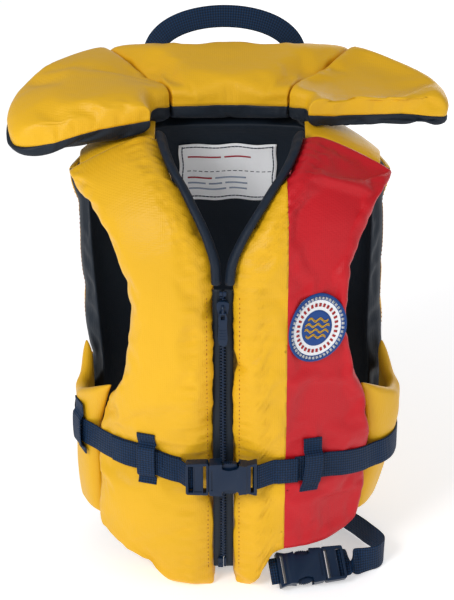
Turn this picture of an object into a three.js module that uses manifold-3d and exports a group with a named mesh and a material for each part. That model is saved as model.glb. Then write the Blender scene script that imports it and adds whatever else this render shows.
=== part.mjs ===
// A child's foam life jacket: zipped front, webbing waist belt and crotch strap with side-release
// buckles, three-pillow collar and grab handle. Millimetres, +Z up, the front faces -Y.
// Left and right in the names are the wearer's: left is +X.
import * as THREE from 'three';
import { mergeVertices } from 'three/addons/utils/BufferGeometryUtils.js';
import Module from 'manifold-3d';

const wasm = await Module();
wasm.setup();

// ---- driving dimensions ----
const ORIGIN_SHIFT = [1, -28.7, 0]; // puts the middle of the whole jacket's box over the origin
const GAP = 0.3; // clearance between neighbouring pieces
const LINING_GAP = 0.8; // clearance between a cover's rim and its lining
const CORE_GAP = 2.2; // clearance round a foam core inside its cover
const FRONT_FOAM = 33; // finished thickness of a front panel
const BACK_FOAM = 29; // finished thickness of the back panel
const SKIN = 2; // cover fabric, seam allowances and quilting together
const EDGE = 4; // thickness of the boxed edge round each panel
const ROUNDNESS = 2.3; // superellipse exponent of the jacket's plan
const ZIP_X = -6; // the zipper lies a little to the wearer's right
const ZIP_HALF = 10; // half the width of the two zipper tapes
const ZIP_BOTTOM = 22;
const ZIP_TOP = 296;
const ZIP_Y = -89.5; // the tapes' back, about 10 below the panels' faces and clear of the buckle
const RED_SEAM_X = 48;
const WEB = 1.5; // thickness of the webbing
const WEB_WIDTH = 25;
const BELT_Z = 124;
const BACK_REACH = 1.31; // plan angle of the back panel's side edges, in radians
const HEM_INNER = 10; // the front hem's curve is read from this far out at the zipper edge
const HEM_OUTER = 120; // and this far out at the side edge
const BUCKLE_LIFT = 8.4; // middle of the waist buckle above the cover

// lateral half width of the jacket at height z, on the wearer's left (+X) and right (-X)
const SIDE_LEFT = [[0, 120], [35, 128], [93, 142], [130, 151], [160, 153], [200, 150], [300, 151], [405, 150]];
const SIDE_RIGHT = [[0, 126], [60, 135], [110, 139], [160, 141], [210, 144], [300, 149], [405, 150]];
// middle profiles of the front and the back: [distance from the middle, height]
const FRONT_PROFILE = [
  [97, 0], [101, 60], [98, 124], [105, 200], [100, 300], [86, 350], [58, 382], [24, 397], [-10, 403],
];
const BACK_PROFILE = [
  [100, 0], [104, 60], [101, 124], [107, 200], [110, 300], [106, 350], [99, 382], [90, 400],
];
const SHOULDER_DROP = 36; // how far the shoulders fall from the neck to their outer ends
// front panel edges at height z: the zipper and V-neck edge, and the side or armhole edge
const NECK_EDGE = [[0, 10.3], [300, 10.3], [318, 11.5], [335, 17], [375, 41], [392, 56], [403, 66]];
const ARMHOLE_LEFT = [
  [0, 114], [60, 120], [124, 128], [180, 122], [215, 112], [270, 107], [330, 113], [375, 128], [403, 142],
];
const ARMHOLE_RIGHT = [
  [0, 112], [60, 122], [124, 124], [180, 112], [215, 98], [270, 92], [330, 104], [375, 124], [403, 142],
];
// height of the hem at distance |x| from the middle
const HEM_LEFT = [[0, 0], [20, 0], [26, 22], [34, 37], [70, 38], [96, 41], [140, 44]];
const HEM_RIGHT = [[0, 0], [38, 0], [62, 17], [87, 30], [107, 40], [140, 44]];
const HEM_BACK = [[0, 0], [62, 0], [100, 22], [140, 44]];

// ---- small maths ----
function profile(points) {
  // smooth curve through [x, y] points, monotone between them
  return (x) => {
    const last = points.length - 1;
    if (x <= points[0][0]) return points[0][1];
    if (x >= points[last][0]) return points[last][1];
    let i = 0;
    while (x > points[i + 1][0]) i += 1;
    const slope = (k) => (points[k + 1][1] - points[k][1]) / (points[k + 1][0] - points[k][0]);
    const tangent = (k) => {
      if (k === 0) return slope(0);
      if (k === last) return slope(last - 1);
      const a = slope(k - 1);
      const b = slope(k);
      return a * b <= 0 ? 0 : (2 * a * b) / (a + b);
    };
    const width = points[i + 1][0] - points[i][0];
    const t = (x - points[i][0]) / width;
    const h = t * t * (3 - 2 * t);
    return points[i][1] * (1 - h) + points[i + 1][1] * h
      + width * (tangent(i) * t * (1 - t) ** 2 - tangent(i + 1) * t * t * (1 - t));
  };
}
const lerp = (a, b, t) => a + (b - a) * t;
const vec = (x, y, z) => new THREE.Vector3(x, y, z);
const sideLeft = profile(SIDE_LEFT);
const sideRight = profile(SIDE_RIGHT);

// ---- closed bodies from grids and sections ----
class Body {
  constructor() {
    this.positions = [];
  }

  quad(a, b, c, d) {
    for (const p of [a, b, c, a, c, d]) this.positions.push(p.x, p.y, p.z);
  }

  geometry() {
    const flat = new THREE.BufferGeometry();
    flat.setAttribute('position', new THREE.Float32BufferAttribute(this.positions, 3));
    const whole = mergeVertices(flat, 1e-3);
    const p = whole.attributes.position;
    const index = [];
    for (let i = 0; i < whole.index.count; i += 3) {
      const [a, b, c] = [0, 1, 2].map((k) => whole.index.getX(i + k));
      if (a !== b && b !== c && c !== a) index.push(a, b, c);
    }
    let volume = 0;
    for (let i = 0; i < index.length; i += 3) {
      const [a, b, c] = [0, 1, 2].map((k) => new THREE.Vector3().fromBufferAttribute(p, index[i + k]));
      volume += a.dot(b.cross(c));
    }
    if (volume < 0) index.reverse();
    whole.setIndex(index);
    return whole;
  }
}

function rim(grid) {
  const n = grid.length - 1;
  const m = grid[0].length - 1;
  const loop = [];
  for (let i = 0; i < n; i += 1) loop.push(grid[i][0]);
  for (let j = 0; j < m; j += 1) loop.push(grid[n][j]);
  for (let i = n; i > 0; i -= 1) loop.push(grid[i][m]);
  for (let j = m; j > 0; j -= 1) loop.push(grid[0][j]);
  return loop;
}

// a body bounded by two grids of points whose rims are joined through the loops between them
function layered(front, loops, back) {
  const body = new Body();
  const rings = [rim(front), ...loops, rim(back)];
  for (let i = 0; i < front.length - 1; i += 1) {
    for (let j = 0; j < front[0].length - 1; j += 1) {
      body.quad(front[i][j], front[i][j + 1], front[i + 1][j + 1], front[i + 1][j]);
      body.quad(back[i][j], back[i + 1][j], back[i + 1][j + 1], back[i][j + 1]);
    }
  }
  for (let r = 0; r < rings.length - 1; r += 1) {
    const count = rings[r].length;
    for (let k = 0; k < count; k += 1) {
      const next = (k + 1) % count;
      body.quad(rings[r][k], rings[r][next], rings[r + 1][next], rings[r + 1][k]);
    }
  }
  return body.geometry();
}

// a body swept through closed sections, each a list of points round a convex outline
function swept(sections) {
  const body = new Body();
  const size = sections[0].length;
  const last = sections.length - 1;
  for (let i = 0; i < last; i += 1) {
    for (let k = 0; k < size; k += 1) {
      const n = (k + 1) % size;
      body.quad(sections[i][k], sections[i][n], sections[i + 1][n], sections[i + 1][k]);
    }
  }
  for (let k = 1; k < size - 1; k += 1) {
    const [first, end] = [sections[0], sections[last]];
    body.quad(first[0], first[k + 1], first[k], first[k]);
    body.quad(end[0], end[k], end[k + 1], end[k + 1]);
  }
  return body.geometry();
}

// flat webbing: stations hold the middle point, the width direction and the face direction
function webbing(stations, width, thickness) {
  return swept(stations.map(({ at, across, face }) => [[-1, -1], [1, -1], [1, 1], [-1, 1]].map(
    ([w, t]) => at.clone().addScaledVector(across, (w * width) / 2).addScaledVector(face, (t * thickness) / 2),
  )));
}

// ---- manifold-3d ----
function solid(geometry) {
  const bare = geometry.clone();
  for (const name of ['normal', 'uv']) bare.deleteAttribute(name);
  const whole = mergeVertices(bare, 1e-4);
  return new wasm.Manifold(new wasm.Mesh({
    numProp: 3,
    vertProperties: new Float32Array(whole.attributes.position.array),
    triVerts: new Uint32Array(whole.index.array),
  }));
}

function geometryOf(manifold) {
  const mesh = manifold.getMesh();
  const geometry = new THREE.BufferGeometry();
  geometry.setAttribute('position', new THREE.BufferAttribute(new Float32Array(mesh.vertProperties), 3));
  geometry.setIndex(new THREE.BufferAttribute(new Uint32Array(mesh.triVerts), 1));
  return geometry;
}

function box(low, high) {
  const size = high.map((h, i) => h - low[i]);
  return wasm.Manifold.cube(size, false).translate(low);
}

// ---- the torso surface ----
class TorsoFace {
  constructor(points, sign) {
    this.curve = new THREE.SplineCurve(points.map(([r, z]) => new THREE.Vector2(r, z)));
    this.curve.arcLengthDivisions = 400;
    this.sign = sign;
  }

  at(v) {
    const p = this.curve.getPointAt(THREE.MathUtils.clamp(v, 0, 1));
    return { reach: p.x, z: p.y };
  }

  rowAt(z) {
    let low = 0;
    let high = 1;
    for (let k = 0; k < 24; k += 1) {
      const middle = (low + high) / 2;
      if (this.at(middle).z < z) low = middle;
      else high = middle;
    }
    return (low + high) / 2;
  }

  // the angle round the plan whose point lies at x
  angle(x, z) {
    const half = x > 0 ? sideLeft(z) : sideRight(z);
    return Math.sign(x) * Math.asin(Math.min(Math.abs(x) / half, 1) ** (ROUNDNESS / 2));
  }

  // the point at depth mm below the face; the plan shrinks inwards, and the boxed hem stays level
  point(phi, v, depth) {
    const { reach, z } = this.at(v);
    const step = 0.02;
    const slope = this.at(Math.min(v + step, 1));
    const base = this.at(Math.max(v - step, 0));
    const along = new THREE.Vector2(slope.reach - base.reach, slope.z - base.z).normalize();
    const drop = -along.x * THREE.MathUtils.smoothstep(v, 0, 0.5);
    const half = (phi > 0 ? sideLeft(z) : sideRight(z)) - 0.75 * depth;
    const power = 2 / ROUNDNESS;
    const x = half * Math.sign(phi) * Math.abs(Math.sin(phi)) ** power;
    const fall = SHOULDER_DROP * THREE.MathUtils.clamp((Math.abs(x) - 60) / 85, 0, 1) ** 1.4;
    return vec(
      x,
      this.sign * (reach - depth * Math.sqrt(1 - drop * drop)) * Math.abs(Math.cos(phi)) ** power,
      z - depth * drop - fall * THREE.MathUtils.smoothstep(z, 290, 400),
    );
  }

  // the point over x at height z, lifted off the face
  over(x, z, lift) {
    const phi = this.angle(x, z);
    let low = 0;
    let high = 1;
    for (let k = 0; k < 24; k += 1) {
      const middle = (low + high) / 2;
      if (this.point(phi, middle, -lift).z < z) low = middle;
      else high = middle;
    }
    return this.point(phi, low, -lift);
  }
}
const frontFace = new TorsoFace(FRONT_PROFILE, -1);
const backFace = new TorsoFace(BACK_PROFILE, 1);

// a grid of points across a panel; margins are parts of its width and height
function panelGrid(place, columns, rows, marginS, marginT, depth) {
  return Array.from({ length: columns + 1 }, (_, i) => Array.from({ length: rows + 1 }, (__, j) => place(
    lerp(marginS, 1 - marginS, i / columns),
    lerp(marginT, 1 - marginT, j / rows),
    depth,
  )));
}

// cover: an open box of fabric; foam: the core inside it; lining: the sheet that closes it
function paddedPanel(place, columns, rows, width, height, thickness) {
  const edgeS = EDGE / width;
  const edgeT = EDGE / height;
  const coreS = (EDGE + CORE_GAP) / width;
  const coreT = (EDGE + CORE_GAP) / height;
  const rimDepth = thickness - SKIN;
  const grid = (ms, mt, depth) => panelGrid(place, columns, rows, ms, mt, depth);
  return {
    cover: layered(
      grid(0, 0, 0),
      [rim(grid(0, 0, rimDepth)), rim(grid(edgeS, edgeT, rimDepth))],
      grid(edgeS, edgeT, SKIN),
    ),
    foam: layered(grid(coreS, coreT, SKIN + CORE_GAP), [], grid(coreS, coreT, rimDepth - CORE_GAP)),
    lining: layered(grid(0, 0, rimDepth + LINING_GAP), [], grid(0, 0, thickness)),
  };
}

// ---- front and back panels ----
function frontPlace(side, neckEdge, armholeEdge, hem) {
  const neck = profile(neckEdge);
  const armhole = profile(armholeEdge);
  const rise = profile(hem);
  return (s, t, depth) => {
    const bottom = frontFace.rowAt(rise(lerp(HEM_INNER, HEM_OUTER, s)));
    const v = lerp(bottom, 1, t);
    const { z } = frontFace.at(v);
    const inner = frontFace.angle(ZIP_X * THREE.MathUtils.smoothstep(410 - z, 0, 110) + side * neck(z), z);
    const outer = frontFace.angle(side * armhole(z), z);
    return frontFace.point(lerp(inner, outer, s ** 0.9), v, depth);
  };
}

function backPlace() {
  const rise = profile(HEM_BACK);
  return (s, t, depth) => {
    const side = 2 * s - 1;
    const bottom = backFace.rowAt(rise(Math.abs(side) * 135));
    const v = lerp(bottom, 1, t);
    return backFace.point(side * BACK_REACH, v, depth);
  };
}

const frontLeft = paddedPanel(
  frontPlace(1, NECK_EDGE, ARMHOLE_LEFT, HEM_LEFT), 7, 12, 105, 400, FRONT_FOAM,
);
const frontRight = paddedPanel(
  frontPlace(-1, NECK_EDGE, ARMHOLE_RIGHT, HEM_RIGHT), 7, 12, 95, 400, FRONT_FOAM,
);
const back = paddedPanel(backPlace(), 14, 9, 330, 400, BACK_FOAM);

const MATERIALS = {};
function material(name, color, roughness, metalness = 0) {
  MATERIALS[name] = new THREE.MeshStandardMaterial({ color, roughness, metalness, name });
}
material('yellow_nylon', 0xecbe32, 0.55);
material('red_nylon', 0xc8232d, 0.55);
material('navy_lining', 0x18222f, 0.7);
material('navy_webbing', 0x1b3e62, 0.8);
material('navy_plastic', 0x1c3450, 0.35);
material('foam', 0xf2f0e6, 0.95);
material('label_cloth', 0xd9dfe6, 0.8);
material('badge', 0xf2f4f6, 0.6);

const jacket = new THREE.Group();
function add(name, geometry, materialName) {
  const mesh = new THREE.Mesh(geometry, MATERIALS[materialName]);
  mesh.name = name;
  jacket.add(mesh);
  return mesh;
}

function addPanels() {
  const seam = solid(frontLeft.cover);
  const red = seam.trimByPlane([1, 0, 0], RED_SEAM_X + GAP / 2);
  const strip = seam.trimByPlane([-1, 0, 0], -RED_SEAM_X + GAP / 2);
  add('front_left_red_cover', geometryOf(red), 'red_nylon');
  add('front_left_strip_cover', geometryOf(strip), 'yellow_nylon');
  add('front_left_foam', frontLeft.foam, 'foam');
  add('front_left_lining', frontLeft.lining, 'navy_lining');
  add('front_right_cover', frontRight.cover, 'yellow_nylon');
  add('front_right_foam', frontRight.foam, 'foam');
  add('front_right_lining', frontRight.lining, 'navy_lining');
  add('back_cover', back.cover, 'yellow_nylon');
  add('back_foam', back.foam, 'foam');
  add('back_lining', back.lining, 'navy_lining');
}

// ---- side gussets under the armholes and bridges over the shoulders ----
const GUSSET_TOP = 194;
const GUSSET_BOTTOM = 50;
const GUSSET_THICK = 12;
const GUSSET_SAG = 24; // its top edge dips this far below its ends

function addGusset(name, side, armhole) {
  const edge = profile(armhole);
  const half = side > 0 ? sideLeft : sideRight;
  const place = (s, t, depth) => {
    const bulge = 1 - (2 * s - 1) ** 2;
    const z = lerp(GUSSET_BOTTOM, GUSSET_TOP - GUSSET_SAG * bulge, t);
    const phi = Math.abs(frontFace.angle(side * edge(z), z)) + 0.05;
    const start = frontFace.point(side * phi, frontFace.rowAt(z), 7 + depth);
    const end = backFace.point(side * (BACK_REACH + 0.03), backFace.rowAt(z), 5 + depth);
    const flank = side * (half(z) - 3 - depth);
    return vec(lerp(lerp(start.x, end.x, s), flank, bulge), lerp(start.y, end.y, s), z);
  };
  add(`side_gusset_${name}`, layered(
    panelGrid(place, 5, 4, 0, 0, 0), [], panelGrid(place, 5, 4, 0, 0, GUSSET_THICK),
  ), 'yellow_nylon');
}

function addShoulder(name, side) {
  const place = (s, t, depth) => {
    const phi = side * lerp(0.42, 1.12, s);
    const fore = frontFace.point(phi, 1, 7 + depth);
    const rear = backFace.point(phi, 1, 4 + depth);
    fore.y += 1.5;
    rear.add(vec(0, -1.8, 0.8));
    return fore.lerp(rear, t).setZ(lerp(fore.z, rear.z, t) + 3 * (1 - (2 * t - 1) ** 2));
  };
  add(`shoulder_${name}`, layered(
    panelGrid(place, 4, 3, 0, 0, 0), [], panelGrid(place, 4, 3, 0, 0, 9),
  ), 'yellow_nylon');
}

// ---- neck bindings: folded tape along both edges of the V ----
function addBinding(name, side) {
  const neck = profile(NECK_EDGE);
  const sections = [];
  const start = frontFace.rowAt(ZIP_TOP + 6);
  for (let k = 0; k <= 9; k += 1) {
    const v = lerp(start, 1, k / 9);
    const { z } = frontFace.at(v);
    const edge = ZIP_X * THREE.MathUtils.smoothstep(410 - z, 0, 110) + side * neck(z);
    const phi = frontFace.angle(edge, z);
    const at = (inset, depth) => frontFace.point(phi, v, depth).add(vec(-side * inset, 0, 0));
    sections.push([at(2.4, 2), at(6, 3), at(6, 15), at(2.4, 16)]);
  }
  add(`neck_binding_${name}`, swept(sections), 'navy_lining');
}

// ---- zipper ----
const SLIDER_Z = 286;

function zipPoint(x, z, lift) {
  return vec(ZIP_X + x, ZIP_Y - lift, z);
}

function zipBlock(x0, x1, low, high, back, front) {
  return swept([low, high].map((z) => [
    zipPoint(x0, z, back), zipPoint(x1, z, back), zipPoint(x1, z, front), zipPoint(x0, z, front),
  ]));
}

function addZipper() {
  for (const [name, side] of [['left', 1], ['right', -1]]) {
    const strip = (x0, x1, low, high, back, front) => zipBlock(side * x0, side * x1, low, high, back, front);
    add(`zipper_tape_${name}`, strip(1.2, ZIP_HALF - 1.4, ZIP_BOTTOM, ZIP_TOP, 0, 1.2), 'navy_lining');
    add(`zipper_teeth_${name}`, strip(0.15, 2.6, ZIP_BOTTOM + 12, ZIP_TOP - 6, 1.6, 3.3), 'navy_plastic');
    add(`zipper_top_stop_${name}`, strip(0.3, 2.8, ZIP_TOP - 5, ZIP_TOP - 1, 1.6, 4), 'navy_plastic');
  }
  const low = ZIP_BOTTOM + 1;
  add('zipper_retainer_box', zipBlock(-4.6, 0.1, low, low + 9.5, 1.6, 5), 'navy_plastic');
  add('zipper_insertion_pin', zipBlock(0.5, 2.6, low, low + 9.5, 1.6, 4), 'navy_plastic');
  add('zipper_slider', zipBlock(-5.2, 5.2, SLIDER_Z - 14, SLIDER_Z, 3.7, 7.4), 'navy_plastic');
  add('zipper_pull', zipBlock(-4, 4, SLIDER_Z - 38, SLIDER_Z - 8, 7.9, 9.9), 'navy_plastic');
}

// ---- waist belt ----
// height of the belt's middle over x on the front; it climbs a little to the wearer's right
const beltFront = profile([
  [-140, 136], [-80, 133], [-40, BELT_Z], [30, BELT_Z], [80, BELT_Z], [134, 117], [155, 117],
]);
const BELT_BACK_Z = 126;

// the belt's path round the jacket: turn runs from the front middle (0) by the side to the back (PI)
function beltStation(turn, lift) {
  const phi = Math.abs(turn) > Math.PI / 2 ? Math.sign(turn) * (Math.PI - Math.abs(turn)) : turn;
  const face = Math.abs(turn) > Math.PI / 2 ? backFace : frontFace;
  const half = turn > 0 ? sideLeft(BELT_Z) : sideRight(BELT_Z);
  const x = half * Math.sign(phi) * Math.abs(Math.sin(phi)) ** (2 / ROUNDNESS);
  const behind = face === backFace;
  const edge = turn > 0 ? beltFront(155) : beltFront(-140);
  const z = behind ? lerp(BELT_BACK_Z, edge, Math.abs(Math.sin(phi)) ** 2) : beltFront(x);
  const at = (angle) => face.point(angle, face.rowAt(z), -lift);
  const tangent = at(phi + 0.02).sub(at(phi - 0.02)).setZ(0).normalize();
  const out = vec(tangent.y, -tangent.x, 0);
  if (out.dot(at(phi)) < 0) out.negate();
  const middle = at(phi);
  middle.z = z;
  return { at: middle, across: vec(0, 0, 1), face: out };
}

function turnAt(x) {
  return frontFace.angle(x, BELT_Z);
}

function beltRun(from, to, steps, lift) {
  return Array.from({ length: steps + 1 }, (_, k) => beltStation(lerp(from, to, k / steps), lift));
}

const BELT_LIFT = 3.3; // middle of the belt above the plain face
const PLUG_BAR = -41; // where the webbing meets the waist buckle's plug
const TAIL_END = -104; // the loose end, doubled back over the belt
const SOCKET_STRAP_START = 25.5;
const SOCKET_STRAP_END = 62;
const BELT_START = 57; // where the belt proper starts, under the socket's strap

function addBelt() {
  const left = beltRun(turnAt(BELT_START), Math.PI, 22, BELT_LIFT);
  const right = beltRun(-Math.PI, turnAt(PLUG_BAR), 22, BELT_LIFT);
  right.shift();
  add('waist_belt', webbing([...left, ...right], WEB_WIDTH, WEB), 'navy_webbing');
  add('belt_tail', webbing(
    beltRun(turnAt(TAIL_END), turnAt(PLUG_BAR), 6, BELT_LIFT + WEB + 2 * GAP), WEB_WIDTH - 1, WEB,
  ), 'navy_webbing');
  add('waist_socket_strap', webbing(
    beltRun(turnAt(SOCKET_STRAP_START), turnAt(SOCKET_STRAP_END), 4, BELT_LIFT + WEB + 1.1), WEB_WIDTH - 1, WEB,
  ), 'navy_webbing');
}

const KEEPER_LOW = 24;
const KEEPER_HIGH = 29;
const KEEPER_ARCH = BELT_LIFT + WEB + 1.4; // lift of the band where one layer of belt passes under it

// a keeper: a short upright band sewn above and below the belt, arched over it
function addKeeper(name, turn, width, arch) {
  const { at, face } = beltStation(turn, 0);
  const side = vec(-face.y, face.x, 0);
  const flat = 1.6; // lift of the sewn ends
  const rows = [[-KEEPER_LOW, flat], [-18, flat], [-14.5, arch], [14.5, arch], [18, flat], [KEEPER_HIGH, flat]];
  const shell = Math.abs(turn) > Math.PI / 2 ? backFace : frontFace;
  const phi = Math.abs(turn) > Math.PI / 2 ? Math.sign(turn) * (Math.PI - Math.abs(turn)) : turn;
  const stations = rows.map(([rise, lift], k) => {
    const z = at.z + rise;
    const base = shell.point(phi, shell.rowAt(z), 0);
    const steep = k === 1 || k === 2 ? -0.5 : k === 3 || k === 4 ? 0.5 : 0;
    const out = face.clone().add(vec(0, 0, steep)).normalize();
    return { at: vec(base.x, base.y, z).addScaledVector(face, lift), across: side, face: out };
  });
  add(name, webbing(stations, width, 1.4), 'navy_webbing');
}

function addKeepers() {
  addKeeper('belt_keeper_front_right', turnAt(-72), 17, KEEPER_ARCH + WEB + 1);
  addKeeper('belt_keeper_front_left', turnAt(72), 17, KEEPER_ARCH);
  addKeeper('belt_keeper_side_right', turnAt(-134), 19, KEEPER_ARCH);
  addKeeper('belt_keeper_back', Math.PI * 0.999, 19, KEEPER_ARCH);
}

// ---- side-release buckles, built flat: X along the strap, Y towards the wearer, Z across ----
const BUCKLE = {
  halfWidth: 16, thick: 12, plugLeft: -38.5, mouth: -18.2, socketRight: 23.5, prongTip: 7,
};

function plugSolid() {
  const { plugLeft, mouth, halfWidth } = BUCKLE;
  const base = mouth + 1.4;
  const frame = box([plugLeft, -4.5, -halfWidth], [mouth - 0.5, 4.5, halfWidth]);
  const neck = box([mouth - 1, -3.4, -12.6], [base, 3.4, 12.6]);
  const tongue = box([base - 1, -2.6, -3.2], [4, 2.6, 3.2]);
  const slots = [[plugLeft + 2.4, plugLeft + 6.6], [mouth - 5.2, mouth - 2.2]].map(
    ([x0, x1]) => box([x0, -6, -13.4], [x1, 6, 13.4]),
  );
  return frame.add(neck).add(tongue).subtract(slots[0]).subtract(slots[1]);
}

function socketSolid() {
  const { mouth, socketRight, halfWidth, thick } = BUCKLE;
  const half = thick / 2;
  const profileShape = [
    [mouth, -half], [mouth, half], [10, half], [15, 4.5], [socketRight, 4.5],
    [socketRight, -4.5], [15, -4.5], [10, -half],
  ];
  const plan = [
    [mouth, -15.2], [-8, -15.4], [10, -14.4], [14, -14.2], [socketRight, -halfWidth],
    [socketRight, halfWidth], [14, 14.2], [10, 14.4], [-8, 15.4], [mouth, 15.2],
  ];
  const outline = (points, height) => {
    const section = new wasm.CrossSection([points]);
    return wasm.Manifold.extrude(section, height).translate([0, 0, -height / 2]);
  };
  const across = outline(plan, 40).rotate([90, 0, 0]);
  const along = outline([...profileShape].reverse(), 40);
  const cavity = box([mouth - 2, -4.1, -13.5], [10.5, 4.1, 13.5]);
  const windows = box([-8, -2.6, -20], [9, 2.6, 20]);
  const bar = box([18, -8, -13], [20.8, 8, 13]);
  return along.intersect(across).subtract(cavity).subtract(windows).subtract(bar);
}

function prongSolid(side) {
  const { mouth, prongTip } = BUCKLE;
  const plan = [[mouth + 1.9, 7.4], [prongTip, 8.6], [prongTip, 13.1], [-6, 13.1], [-9, 12], [mouth + 1.9, 12]];
  const section = new wasm.CrossSection([plan]);
  const body = wasm.Manifold.extrude(section, 5.2).translate([0, 0, -2.6]).rotate([90, 0, 0]);
  return side > 0 ? body : body.mirror([0, 0, 1]);
}

function addBuckle(prefix, place, up) {
  const put = (name, manifold) => {
    add(name, geometryOf(manifold.transform(place.elements)), 'navy_plastic');
  };
  put(`${prefix}_buckle_plug`, plugSolid());
  put(`${prefix}_buckle_socket`, socketSolid());
  put(`${prefix}_prong_upper`, prongSolid(up));
  put(`${prefix}_prong_lower`, prongSolid(-up));
}

const waistPlace = new THREE.Matrix4().makeTranslation(
  0, frontFace.over(0, BELT_Z, 0).y - BUCKLE_LIFT, BELT_Z,
);
// the crotch buckle is turned end for end (its plug is on the wearer's left) and leans back
const CROTCH_AT = [66, -85, 16.5];
const CROTCH_LEAN = THREE.MathUtils.degToRad(-46);
const CROTCH_YAW = THREE.MathUtils.degToRad(13);
const crotchPlace = new THREE.Matrix4().makeTranslation(...CROTCH_AT)
  .multiply(new THREE.Matrix4().makeRotationZ(CROTCH_YAW))
  .multiply(new THREE.Matrix4().makeRotationX(CROTCH_LEAN))
  .multiply(new THREE.Matrix4().makeRotationY(Math.PI));

// ---- crotch strap: from the plug round a bend and back under the side to the back hem ----
const CROTCH_ROUTE = [
  [105, -73, 13.5], [114, -70, 13], [126, -66, 13], [137, -60, 13], [142, -48, 13],
  [138, -35, 13], [128, -20, 13], [114, 0, 13], [100, 20, 13], [86, 36, 13], [73, 47, 13],
];

function crotchStations(route) {
  const curve = new THREE.CatmullRomCurve3(route.map((p) => vec(...p)));
  const steps = 20;
  return Array.from({ length: steps + 1 }, (_, k) => {
    const u = k / steps;
    const tangent = curve.getTangentAt(u).setZ(0).normalize();
    const lean = CROTCH_LEAN * 0.6 * (1 - THREE.MathUtils.smoothstep(u, 0, 0.18));
    const out = vec(tangent.y, -tangent.x, 0);
    const across = vec(0, 0, 1).multiplyScalar(Math.cos(lean)).addScaledVector(out, Math.sin(lean));
    const face = out.clone().multiplyScalar(Math.cos(lean)).add(vec(0, 0, -Math.sin(lean)));
    return { at: curve.getPointAt(u), across, face };
  });
}

function addCrotchStrap() {
  addBuckle('crotch', crotchPlace, -1);
  add('crotch_strap', webbing(crotchStations(CROTCH_ROUTE), WEB_WIDTH, WEB), 'navy_webbing');
  const corner = (x, y, z) => vec(x, y, z).applyMatrix4(crotchPlace);
  const across = vec(0, 0, 1).transformDirection(crotchPlace);
  const face = vec(0, -1, 0).transformDirection(crotchPlace);
  const stations = [
    { at: corner(24.4, 0, 0), across, face },
    { at: corner(29.5, 1, 0), across, face },
  ];
  add('crotch_front_tab', webbing(stations, WEB_WIDTH - 1, WEB), 'navy_webbing');
}

// ---- owner's label and badge ----
const LABEL = { x: -2, z: 337, width: 85, height: 54, thick: 0.8, lift: 2.2, spread: 1.17 };
const BADGE = { x: 75, z: 256, radius: 30, thick: 1.6, lift: 0.9 };
const BADGE_SQUEEZE = 0.92; // the panel turns away there, so the disc is narrower in X than in Z
const BADGE_HUB = 0.45; // radius of the inner ring of its mesh, as a part of the whole

function addLabel() {
  const place = (s, t, depth) => {
    const z = LABEL.z + (t - 0.5) * LABEL.height;
    const x = LABEL.x + (s - 0.5) * LABEL.width;
    return vec(x, backFace.over(x * LABEL.spread, z, -BACK_FOAM - LABEL.lift - depth).y, z);
  };
  add('name_label', layered(
    panelGrid(place, 5, 3, 0, 0, 0), [], panelGrid(place, 5, 3, 0, 0, LABEL.thick),
  ), 'label_cloth');
}

function discOn(face, cx, cz, radius, lift, thick) {
  const count = 28;
  const circle = (level, r) => Array.from({ length: count }, (_, k) => {
    const a = (2 * Math.PI * k) / count;
    return face.over(cx + r * BADGE_SQUEEZE * Math.cos(a), cz + r * Math.sin(a), lift + level);
  });
  const loops = [[0, radius], [thick, radius], [thick, radius * BADGE_HUB], [0, radius * BADGE_HUB]];
  const rings = loops.map(([level, r]) => circle(level, r));
  const body = new Body();
  for (const [a, b] of [[rings[0], rings[1]], [rings[1], rings[2]], [rings[3], rings[0]]]) {
    for (let k = 0; k < count; k += 1) {
      const n = (k + 1) % count;
      body.quad(a[k], a[n], b[n], b[k]);
    }
  }
  for (const [ring, level, flip] of [[rings[2], thick, false], [rings[3], 0, true]]) {
    const hub = face.over(cx, cz, lift + level);
    for (let k = 0; k < count; k += 1) {
      const n = (k + 1) % count;
      const ends = flip ? [ring[n], ring[k]] : [ring[k], ring[n]];
      body.quad(hub, ends[0], ends[1], ends[1]);
    }
  }
  return body.geometry();
}

// ---- collar: three pillows round the neck, each a cover over a foam core over an underside ----
const COLLAR = {
  thick: 28,
  edgeThick: 17,
  neckZ: 413,
  backZ: 421,
  neckY: 56,
  backY: 150,
  seamNeckX: 47.5,
  seamBackX: 109.5,
};

// the pillow's plan: inner edge at the neck, outer edge, and how far its middle lies above or below
function collarHeight(x, y, { droop, from, power }) {
  const back = THREE.MathUtils.clamp((y - COLLAR.neckY) / (COLLAR.backY - COLLAR.neckY), 0, 1);
  const reach = THREE.MathUtils.clamp((Math.abs(x) - 90) / 100, 0, 1);
  const fore = THREE.MathUtils.clamp((from - y) / from, 0, 1) ** power;
  return lerp(COLLAR.neckZ, COLLAR.backZ, back) - droop * reach ** 1.3 * fore;
}

function pillowPlace(inner, outer, hang) {
  const innerCurve = new THREE.SplineCurve(inner.map(([x, y]) => new THREE.Vector2(x, y)));
  const outerCurve = new THREE.SplineCurve(outer.map(([x, y]) => new THREE.Vector2(x, y)));
  return (s, t, depth) => {
    const a = innerCurve.getPoint(t);
    const b = outerCurve.getPoint(t);
    const x = lerp(a.x, b.x, s);
    const y = lerp(a.y, b.y, s);
    const crown = (1 - (2 * s - 1) ** 6) * (1 - (2 * t - 1) ** 6);
    const half = lerp(COLLAR.edgeThick, COLLAR.thick, crown) / 2;
    return vec(x, y, collarHeight(x, y, hang) + half * (1 - 2 * depth));
  };
}

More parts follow.
